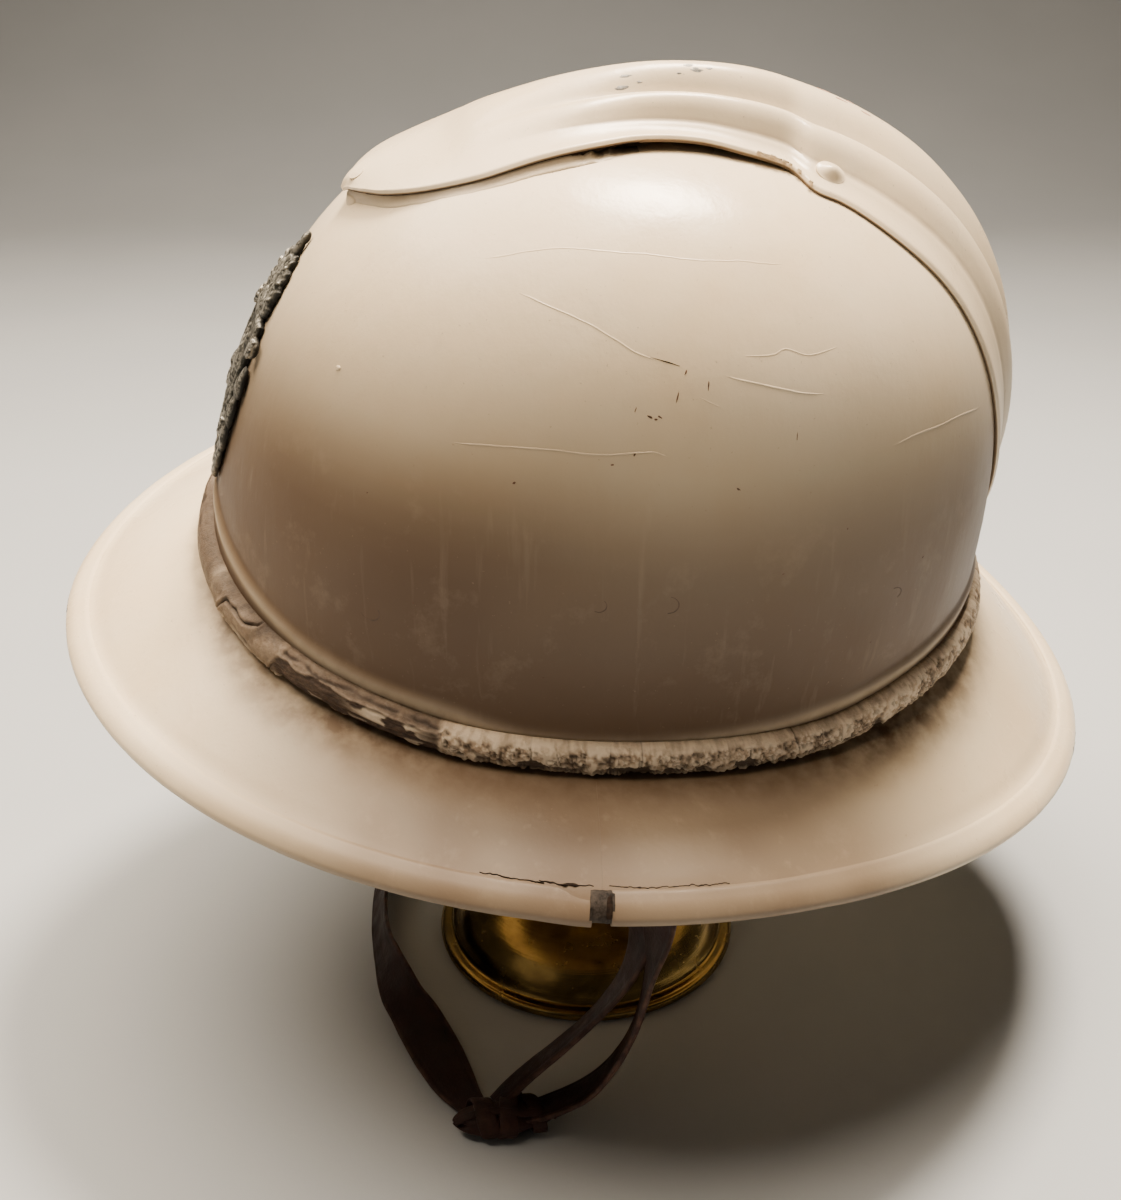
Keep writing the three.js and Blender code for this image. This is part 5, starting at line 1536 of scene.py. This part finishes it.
def strap_sections(rows, seed):
    """The strap's sections along a route, and how far out across it their points lie."""
    line, places = route_line(rows)
    numbers = np.arange(len(rows))
    yaw, roll, share = (table_value(numbers, np.asarray(rows, float)[:, k], places)
                        for k in (3, 4, 5))
    along = unit(np.gradient(line, axis=0))
    yaw = np.radians(yaw)
    across = np.stack([np.sin(yaw), np.cos(yaw), np.zeros(len(yaw))], -1)
    across = unit(across - along * np.sum(across * along, -1, keepdims=True))
    roll = np.radians(roll)[:, None]
    across = across * np.cos(roll) + np.cross(along, across) * np.sin(roll)
    face = np.cross(along, across)
    angle = full_circle(44)
    out = signed_power(np.cos(angle), 0.42)
    up = signed_power(np.sin(angle), 0.62)
    crease = 1 - 0.28 * np.exp(-((np.abs(out) - 0.74) / 0.05) ** 2)
    spot = noise_spot(run_along(line)[:, None], out[None] * 6, np.sign(up)[None] * 3 + seed * 11.7)
    wrinkle = 0.2 * layered_noise(spot * [0.55, 0.35, 1], 2.6, 3, seed)
    edge_wave = 0.35 * lattice_noise(spot * [1, 0, 0] + [0, 0, seed], 8.0, seed + 3)
    half_width = (STRAP["width"] / 2 * share)[:, None] + edge_wave * out[None] * np.sign(out)[None]
    gathered = 1 + 0.5 * (1 - share)[:, None]
    lift = up[None] * (STRAP["thickness"] / 2 * crease[None] * gathered + wrinkle)
    cup = 0.5 * (out[None] ** 2 - 0.4) * share[:, None]
    level = out[None] * half_width
    sections = line[:, None] + across[:, None] * level[..., None]
    return sections + face[:, None] * (lift + cup)[..., None], out


def build_straps():
    """Both runs of the chin strap, from the knot round the bar of a lug each."""
    turn = lug_turn(-1)
    tail = (turn[-1][0] - 1, turn[-1][1], turn[-1][2] - STRAP["tail"], 0, 0, 1)
    routes = (
        ("chin_strap_near", [*NEAR_INNER, *lug_turn(1), *NEAR_OUTER], 221),
        ("chin_strap_far", [tail, *turn[::-1], *FAR_RUN], 231),
    )
    for name, rows, seed in routes:
        sections, out = strap_sections(rows, seed)
        sections[..., 2] = np.maximum(sections[..., 2], STRAP["lowest"])
        points, faces = loft_mesh(sections)
        edge = np.tile(smoothstep(0.8, 1.0, np.abs(out)), len(sections))
        values = {"edge": np.concatenate([edge, [0, 0]])}
        mesh_piece(name, points * MM, faces, strap_leather(), [name], values,
                   sharp=60)


def band_mesh(line, face, width, thickness, seed):
    """A leather band along points with its face outwards, a little uneven."""
    along = unit(np.gradient(line, axis=0))
    across = unit(np.cross(along, face))
    face = np.cross(across, along)
    angle = full_circle(24)
    out = signed_power(np.cos(angle), 0.45) * width / 2
    up = signed_power(np.sin(angle), 0.7) * thickness / 2
    sections = line[:, None] + across[:, None] * out[None, :, None]
    sections = sections + face[:, None] * up[None, :, None]
    return loft_mesh(sections + 0.14 * noise_shift(sections, 1.7, 2, seed))


def knot_wrap(place, lean, width, grow, seed):
    """One turn of leather round the gathered strands at a place along the knot."""
    turn = np.linspace(0, 2 * np.pi, 60)
    middle, half = np.array(KNOT["middle"]), np.array(KNOT["half"])
    slim = math.sqrt(max(1 - (place / half[1]) ** 2 * 0.75, 0.1))
    x = np.cos(turn) * half[0] * slim * grow
    z = np.sin(turn) * half[2] * slim * grow
    y = place + lean * np.cos(turn) + 0.5 * np.sin(turn * 2 + seed)
    line = np.stack([x, y, z], -1)
    face = unit(line * [1, 0, 1.6])
    return band_mesh(line + middle, face, width, 1.1, seed)


def knot_body():
    """The gathered strands inside the knot's wraps."""
    rise = np.linspace(0, np.pi, 44)[1:-1]
    turn = full_circle(64)
    rise, turn = np.meshgrid(rise, turn, indexing="ij")
    ball = np.stack([np.sin(rise) * np.cos(turn), -np.cos(rise), np.sin(rise) * np.sin(turn)], -1)
    strands = 1 + 0.07 * np.cos(turn * 5 + rise * 2.4)
    points = ball * (np.array(KNOT["half"]) - [0.9, 0.6, 0.7]) * strands[..., None]
    points = points + 0.35 * ball * layered_noise(points, 3.2, 3, 241)[..., None]
    end = KNOT["half"][1] - 0.6
    points, faces = ring_solid(points, (0, -end, 0), (0, end, 0))
    return points + KNOT["middle"], faces


def knot_cord():
    """A thin strand that lies across the knot with both ends free."""
    share = np.linspace(-1, 1, 50)
    middle, half = np.array(KNOT["middle"]), np.array(KNOT["half"])
    y = share * half[1] * 0.99
    z = half[2] * np.sqrt(np.maximum(1 - share ** 2 * 0.9, 0.05)) * 0.9
    x = half[0] * (0.32 + 0.18 * share + 0.08 * np.sin(share * 5))
    line = np.stack([x, y, z], -1) + middle
    face = np.tile([0.4, 0, 1.0], (50, 1))
    return band_mesh(line, unit(face), 2.0, 1.1, 251)


def build_knot():
    parts = [
        knot_body(), knot_wrap(-5.4, 1.6, 5.4, 0.93, 261), knot_wrap(1.4, -1.3, 5.0, 0.95, 271),
        knot_wrap(7.4, 1.9, 3.8, 0.95, 281), knot_cord(),
    ]
    points, faces = joined_meshes(parts)
    points[:, 2] = np.clip(points[:, 2], KNOT["low"], KNOT["top"])
    mesh_piece("chin_strap_knot", points * MM, faces, strap_leather(),
               ["chin_strap_knot"], {"edge": np.full(len(points), 0.3)}, sharp=60)


# ------------------------------------------------------------------ stand
# The foot's outline as (out, up), between its flat base and its flat top.
FOOT_PROFILE = [
    (44.5, 0.0), (45.6, 0.1), (46.5, 0.5), (47.0, 1.2), (47.0, 2.2), (46.6, 2.95),
    (45.8, 3.35), (44.6, 3.3), (43.6, 3.2), (43.0, 3.6), (42.4, 4.6), (41.2, 7.0), (39.5, 9.5),
    (37.0, 12.2), (34.0, 14.5), (30.0, 16.8), (25.0, 18.8), (19.5, 20.4), (14.0, 21.6),
    (11.4, 22.5), (9.7, 23.6), (9.4, 24.4), (9.2, 25.2), (8.5, 26.0),
]
POLE = {"radius": 5.0, "low": 26.1, "high": 234.3}
CAP = {"radius": 20.0, "roundness": 26.0, "top": 247.4, "low": 234.4, "neck": 8.0}


def smooth_profile(rows, per_row):
    """A finer smooth line through (out, up) rows."""
    rows = np.asarray(rows, float)
    places = run_along(rows)
    at = np.concatenate([np.linspace(a, b, per_row, endpoint=False)
                         for a, b in zip(places[:-1], places[1:])] + [places[-1:]])
    return np.stack([table_value(places, rows[:, k], at) for k in range(2)], -1)


def brass_piece(name, profile, sides):
    """A piece turned about the upright axis from a profile of (out, up) that ends on it."""
    profile = np.asarray(profile, float)
    turn = full_circle(sides)
    inner = profile[1:-1]
    rings = np.stack([inner[:, None, 0] * np.cos(turn), inner[:, None, 0] * np.sin(turn),
                      np.broadcast_to(inner[:, None, 1], (len(inner), sides))], -1)
    points, faces = ring_solid(rings, (0, 0, profile[0, 1]), (0, 0, profile[-1, 1]))
    mesh_piece(name, points * MM, faces, stand_brass(), [name], sharp=38)


def build_stand():
    """The foot, the pole and the cap that carries the dome."""
    foot = smooth_profile(FOOT_PROFILE, 4)
    brass_piece("stand_foot", [(0, 0), (30, 0), *foot, (0, FOOT_PROFILE[-1][1])], 192)
    r, low, high = POLE["radius"], POLE["low"], POLE["high"]
    pole = [(0, low), (r - 0.3, low), (r, low + 0.3)]
    pole += [(r, z) for z in np.linspace(low + 2, high - 2, 30)]
    pole += [(r, high - 0.3), (r - 0.3, high), (0, high)]
    brass_piece("stand_pole", pole, 64)
    edge = math.asin(CAP["radius"] / CAP["roundness"])
    cap = [(0, CAP["low"]), (CAP["neck"], CAP["low"])]
    for angle in np.linspace(edge, 0, 26):
        out = CAP["roundness"] * math.sin(angle)
        cap.append((out, CAP["top"] + CAP["roundness"] * (math.cos(angle) - 1)))
    brass_piece("stand_cap", cap, 128)


# ------------------------------------------------------------------ materials
class Finish:
    """A node material and the few kinds of node that the finishes are made of."""

    def __init__(self, name, metallic=0.0):
        self.material = bpy.data.materials.new(name)
        self.material.use_nodes = True
        self.tree = self.material.node_tree
        self.shader = self.tree.nodes["Principled BSDF"]
        self.shader.inputs["Metallic"].default_value = metallic
        self.place = self.add("ShaderNodeTexCoord", {}).outputs["Object"]

    def add(self, kind, inputs, **settings):
        node = self.tree.nodes.new(kind)
        for key, value in settings.items():
            setattr(node, key, value)
        for key, value in inputs.items():
            self.put(node.inputs[key], value)
        return node

    def put(self, socket, value):
        if isinstance(value, bpy.types.NodeSocket):
            self.tree.links.new(value, socket)
        else:
            socket.default_value = value

    def noise(self, scale, detail, stretch=(1, 1, 1), roughness=0.55, bend=0.0):
        place = self.place
        if stretch != (1, 1, 1):
            place = self.add("ShaderNodeMapping", {"Vector": place, "Scale": stretch}).outputs[0]
        inputs = {"Vector": place, "Scale": scale, "Detail": detail, "Roughness": roughness,
                  "Distortion": bend}
        return self.add("ShaderNodeTexNoise", inputs).outputs[0]

    def ramp(self, value, low, high, start=0.0, end=1.0):
        inputs = {"Value": value, "From Min": low, "From Max": high, "To Min": start, "To Max": end}
        return self.add("ShaderNodeMapRange", inputs).outputs[0]

    def maths(self, operation, a, b):
        return self.add("ShaderNodeMath", {0: a, 1: b}, operation=operation).outputs[0]

    def mix(self, share, a, b):
        a, b = ((*c, 1) if isinstance(c, tuple) else c for c in (a, b))
        inputs = {"Factor": share, 6: a, 7: b}
        return self.add("ShaderNodeMix", inputs, data_type="RGBA").outputs[2]

    def kept(self, name):
        return self.add("ShaderNodeAttribute", {}, attribute_name=name).outputs["Fac"]

    def times(self, a, b):
        return self.maths("MULTIPLY", a, b)

    def bump(self, height, distance, strength, normal=None):
        inputs = {"Height": height, "Distance": distance, "Strength": strength}
        if normal is not None:
            inputs["Normal"] = normal
        return self.add("ShaderNodeBump", inputs).outputs[0]

    def done(self, colour, roughness, normal):
        self.put(self.shader.inputs["Base Color"], colour)
        self.put(self.shader.inputs["Roughness"], roughness)
        self.put(self.shader.inputs["Normal"], normal)
        return self.material


@functools.lru_cache(maxsize=None)
def ivory_paint():
    """Old cream enamel, yellowed in patches, with painted shade, dirt and painted shade at joins, a
    dull inside.
    """
    f = Finish("ivory_paint_aged")
    stain = f.ramp(f.noise(13, 4, bend=0.4), 0.36, 0.7)
    colour = f.mix(stain, (0.80, 0.67, 0.48), (0.74, 0.585, 0.385))
    bloom = f.ramp(f.noise(34, 5), 0.42, 0.78, 0, 0.6)
    colour = f.mix(bloom, colour, (0.77, 0.67, 0.50))
    # Painted shade: the paint darkened to brown by the shade value kept on its points.
    colour = f.mix(f.times(f.kept("painted_shade"), 0.95), colour, (0.066, 0.031, 0.013))
    rubbed = f.ramp(f.noise(75, 6, roughness=0.7), 0.56, 0.74, 0, 0.12)
    colour = f.mix(rubbed, colour, (0.46, 0.37, 0.27))
    specks = f.ramp(f.noise(1050, 2), 0.71, 0.76, 0, 0.4)
    colour = f.mix(specks, colour, (0.24, 0.17, 0.11))
    streak = f.ramp(f.noise(260, 4, (1, 1, 0.08)), 0.6, 0.8, 0, 0.16)
    colour = f.mix(streak, colour, (0.45, 0.36, 0.26))
    # Dirt and painted shade where pieces meet, by the value kept on the points.
    dirt_and_shade = f.times(f.kept("dirt_and_shade"), f.ramp(f.noise(210, 5), 0.3, 0.62, 0.55, 1.0))
    colour = f.mix(dirt_and_shade, colour, (0.095, 0.056, 0.03))
    dull = f.ramp(f.noise(60, 4), 0.35, 0.7, 0, 1)
    colour = f.mix(f.kept("inside"), colour, f.mix(dull, (0.20, 0.15, 0.10), (0.10, 0.065, 0.04)))
    f.put(f.shader.inputs["Specular IOR Level"], 0.38)
    f.put(f.shader.inputs["IOR"], 1.42)
    worn = f.ramp(f.noise(42, 5, bend=0.3), 0.3, 0.75, 0.22, 0.36)
    for name, share in (("dirt_and_shade", 0.35), ("inside", 0.3), ("painted_shade", 0.2)):
        worn = f.maths("ADD", worn, f.times(f.kept(name), share))
    brush = f.bump(f.noise(150, 3, (1, 1, 0.4)), 0.0004, 0.35)
    grain = f.bump(f.noise(1500, 2), 0.00005, 0.4, brush)
    return f.done(colour, worn, grain)


@functools.lru_cache(maxsize=None)
def welt_paint():
    """Tan paint breaking off a leather cord, with painted shade in its hollows and painted highlights
    on its grains.
    """
    f = Finish("welt_cracked_paint")
    tone = f.ramp(f.noise(420, 5, roughness=0.7), 0.35, 0.68)
    paint = f.mix(tone, (0.62, 0.46, 0.31), (0.36, 0.245, 0.15))
    pale = f.ramp(f.noise(900, 3), 0.5, 0.72, 0, 0.75)
    paint = f.mix(pale, paint, (0.80, 0.66, 0.49))
    slow = f.ramp(f.noise(55, 4), 0.4, 0.7, 0, 0.5)
    paint = f.mix(slow, paint, (0.33, 0.25, 0.17))
    # Darker brown by the smooth value: the smooth paint's own tone, and painted shade over it.
    paint = f.mix(f.times(f.kept("smooth"), 0.9), paint,
                  f.mix(tone, (0.125, 0.084, 0.054), (0.052, 0.034, 0.022)))
    # Paler by the pale value: the paint's own pale band and torn edges, and a painted highlight on
    # the grains.
    paint = f.mix(f.times(f.kept("pale"), 0.8), paint, (0.80, 0.67, 0.50))
    fibre = f.ramp(f.noise(420, 5, (1, 1, 3.0), 0.7), 0.35, 0.7)
    leather = f.mix(fibre, (0.032, 0.018, 0.012), (0.125, 0.076, 0.047))
    colour = f.mix(f.kept("paint"), leather, paint)
    # Darkest by the dark value: dirt, and painted shade in the hollows.
    colour = f.mix(f.times(f.kept("dark"), 0.9), colour, (0.035, 0.02, 0.012))
    rough = f.ramp(f.noise(500, 3), 0.3, 0.7, 0.62, 0.85)
    rough = f.maths("SUBTRACT", rough, f.times(f.kept("smooth"), 0.15))
    return f.done(colour, rough, f.bump(f.noise(1500, 4, roughness=0.7), 0.0004, 0.9))


# Finishes of small marks: dark tone, light tone, roughness, metal, size of the grain, shine.
PLAIN_FINISHES = {
    "crack_brown": ((0.006, 0.004, 0.003), (0.024, 0.014, 0.009), 0.8, 0.0, 700, 0.1),
    "rust_brown": ((0.06, 0.028, 0.017), (0.14, 0.065, 0.04), 0.75, 0.0, 700, 0.5),
    "smudge_brown": ((0.05, 0.027, 0.015), (0.11, 0.062, 0.036), 0.5, 0.0, 700, 0.5),
    "scuff_red": ((0.40, 0.16, 0.10), (0.58, 0.40, 0.28), 0.6, 0.0, 700, 0.5),
    "bare_steel": ((0.10, 0.095, 0.085), (0.30, 0.29, 0.27), 0.42, 0.7, 1100, 0.5),
    "rusty_steel": ((0.006, 0.004, 0.003), (0.055, 0.043, 0.034), 0.55, 0.2, 560, 0.2),
}


@functools.lru_cache(maxsize=None)
def plain_finish(name):
    """Two tones in fine patches with rough grain."""
    dark, light, rough, metallic, scale, shine = PLAIN_FINISHES[name]
    f = Finish(name, metallic)
    f.put(f.shader.inputs["Specular IOR Level"], shine)
    colour = f.mix(f.ramp(f.noise(scale, 4, roughness=0.7), 0.35, 0.65), dark, light)
    roughness = f.ramp(f.noise(scale / 2, 3), 0.3, 0.7, rough, min(rough + 0.2, 1))
    return f.done(colour, roughness, f.bump(f.noise(scale * 2, 3), 0.0001, 0.7))


@functools.lru_cache(maxsize=None)
def badge_pewter():
    """Dark cast metal, green black in its hollows and rubbed grey on its edges, the grey also a
    painted highlight.
    """
    f = Finish("badge_pewter_worn", 0.55)
    patina = f.ramp(f.noise(420, 4), 0.35, 0.65)
    colour = f.mix(patina, (0.022, 0.022, 0.018), (0.062, 0.06, 0.048))
    colour = f.mix(f.kept("hollow"), colour, (0.008, 0.008, 0.007))
    # Rubbed grey on the raised parts: wear, and a painted highlight.
    rubbed = f.times(f.kept("worn"), f.ramp(f.noise(900, 4), 0.42, 0.57, 0, 0.92))
    colour = f.mix(rubbed, colour, (0.42, 0.40, 0.35))
    rough = f.ramp(rubbed, 0, 1, 0.62, 0.36)
    pits = f.bump(f.noise(1300, 4, roughness=0.7), 0.0002, 0.7)
    return f.done(colour, rough, pits)


@functools.lru_cache(maxsize=None)
def lug_steel():
    f = Finish("lug_steel_dull", 0.75)
    stain = f.ramp(f.noise(260, 5), 0.4, 0.65)
    colour = f.mix(stain, (0.30, 0.27, 0.22), (0.13, 0.09, 0.06))
    rough = f.ramp(f.noise(400, 3), 0.3, 0.7, 0.38, 0.62)
    return f.done(colour, rough, f.bump(f.noise(1500, 3), 0.0001, 0.6))


@functools.lru_cache(maxsize=None)
def strap_leather():
    """Dry red brown leather, greyed along its edges and folds, the edges also with a painted sheen.
    """
    f = Finish("strap_leather_dry")
    f.put(f.shader.inputs["Specular IOR Level"], 0.2)
    tone = f.ramp(f.noise(90, 5, roughness=0.65), 0.35, 0.68)
    colour = f.mix(tone, (0.012, 0.0036, 0.003), (0.034, 0.010, 0.008))
    grey = f.ramp(f.noise(46, 5, bend=0.4), 0.5, 0.72, 0, 0.6)
    colour = f.mix(grey, colour, (0.03, 0.017, 0.012))
    # Scuffs along the edges, also standing in for their sheen as a painted highlight.
    scuffs_and_sheen = f.times(f.kept("edge"), f.ramp(f.noise(330, 4), 0.4, 0.62, 0.1, 0.7))
    colour = f.mix(scuffs_and_sheen, colour, (0.10, 0.048, 0.03))
    cracks = f.ramp(f.noise(620, 4, (1, 1, 0.35), 0.7), 0.6, 0.68, 0, 0.6)
    colour = f.mix(cracks, colour, (0.02, 0.008, 0.006))
    rough = f.ramp(f.noise(160, 4), 0.3, 0.7, 0.4, 0.66)
    grain = f.bump(f.noise(1100, 4, roughness=0.7), 0.0003, 0.6)
    return f.done(colour, rough, f.bump(f.noise(240, 3), 0.0008, 0.35, grain))


@functools.lru_cache(maxsize=None)
def stand_brass():
    """Polished brass that has dulled in patches and keeps the marks of turning."""
    f = Finish("stand_brass_dulled", 1.0)
    tarnish = f.ramp(f.noise(70, 5, roughness=0.6), 0.45, 0.72)
    colour = f.mix(tarnish, (0.34, 0.23, 0.075), (0.17, 0.105, 0.035))
    spots = f.ramp(f.noise(520, 3), 0.66, 0.72, 0, 0.7)
    colour = f.mix(spots, colour, (0.16, 0.09, 0.035))
    rough = f.ramp(f.noise(110, 4), 0.3, 0.75, 0.14, 0.34)
    turned_marks = f.bump(f.noise(900, 2, (0.02, 0.02, 1.6)), 0.00008, 0.5)
    return f.done(colour, rough, f.bump(f.noise(900, 3), 0.00003, 0.5, turned_marks))


@functools.lru_cache(maxsize=None)
def studio_floor():
    f = Finish("studio_floor")
    colour = f.mix(f.ramp(f.noise(3, 3), 0.3, 0.7), (0.42, 0.445, 0.47), (0.39, 0.415, 0.44))
    rough = f.ramp(f.noise(9, 3), 0.3, 0.7, 0.75, 0.9)
    return f.done(colour, rough, f.bump(f.noise(420, 3), 0.0002, 0.3))


# ------------------------------------------------------------------ studio
CAMERA = {
    "place": (0.332, -0.0532, 0.2705), "forward": (-0.8996, 0.1228, -0.4191),
    "down": (0.4146, -0.0612, -0.9079), "lens": 38.41, "film": 36.0,
}


def placed(name, data):
    """An object of the studio, linked to the scene."""
    obj = bpy.data.objects.new(name, data)
    bpy.context.scene.collection.objects.link(obj)
    return obj


def build_camera():
    data = bpy.data.cameras.new("camera")
    data.sensor_fit = "VERTICAL"
    data.sensor_height = CAMERA["film"]
    data.lens = CAMERA["lens"]
    data.clip_start = 0.01
    camera = placed("camera", data)
    back = -Vector(CAMERA["forward"]).normalized()
    right = (-Vector(CAMERA["down"])).cross(back).normalized()
    up = back.cross(right)
    turn = Matrix((right, up, back)).transposed().to_4x4()
    camera.matrix_world = Matrix.Translation(CAMERA["place"]) @ turn
    bpy.context.scene.camera = camera


def build_floor():
    """A pale floor that rises in a wide curve behind the object."""
    heading = math.atan2(CAMERA["forward"][1], CAMERA["forward"][0])
    near, far, radius, half_width = -3.0, 1.4, 1.1, 3.6
    profile = [(d, 0.0) for d in np.linspace(near, far, 12)]
    profile += [(far + radius * math.sin(a), radius * (1 - math.cos(a)))
                for a in np.linspace(0, math.pi / 2, 25)[1:]]
    profile += [(far + radius, z) for z in (1.6, 2.3, 3.2)]
    wide = np.linspace(-half_width, half_width, 13)
    rows = []
    for out, up in profile:
        x = out * math.cos(heading) - wide * math.sin(heading)
        y = out * math.sin(heading) + wide * math.cos(heading)
        rows.append(np.stack([x, y, np.full(len(wide), up)], -1))
    mesh = raw_mesh("floor", np.stack(rows), [grid_faces(len(rows), len(wide))[:, ::-1]])
    mesh.polygons.foreach_set("use_smooth", [True] * len(mesh.polygons))
    mesh.materials.append(studio_floor())
    placed("floor", mesh)


def area_light(name, direction, distance, size, power, colour):
    """A round soft light that faces the helmet's dome from a direction."""
    low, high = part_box("skull")
    target = (low + high) / 2
    data = bpy.data.lights.new(name, "AREA")
    data.shape = "DISK"
    data.size = size
    data.energy = power
    data.color = colour
    lamp = placed(name, data)
    towards = Vector(direction).normalized()
    lamp.location = target + towards * distance
    lamp.rotation_euler = towards.to_track_quat("Z", "Y").to_euler()


def build_lights():
    area_light("key_light", (-0.23, 0.21, 0.95), 0.95, 0.28, 36.0, (1.0, 0.85, 0.68))
    area_light("top_light", (-0.14, -0.26, 0.95), 1.3, 1.3, 58.0, (1.0, 0.83, 0.64))
    area_light("front_fill", (0.55, -0.8, 0.55), 1.8, 1.2, 1.0, (1.0, 0.86, 0.70))
    world = bpy.data.worlds.new("world")
    world.use_nodes = True
    background = world.node_tree.nodes["Background"]
    background.inputs["Color"].default_value = (1.0, 0.85, 0.68, 1)
    background.inputs["Strength"].default_value = 0.045
    bpy.context.scene.world = world


# ------------------------------------------------------------------ the whole
for build in (
    build_skull, build_cracks, build_marks, build_smudges, build_brim, build_edging,
    build_edging_gap, build_crease_cracks, build_rim_chips, build_welt, build_crest,
    build_crest_joint, build_rivets, build_crest_marks, build_badge, build_lugs, build_straps,
    build_knot, build_stand, build_camera, build_floor, build_lights,
):
    build()
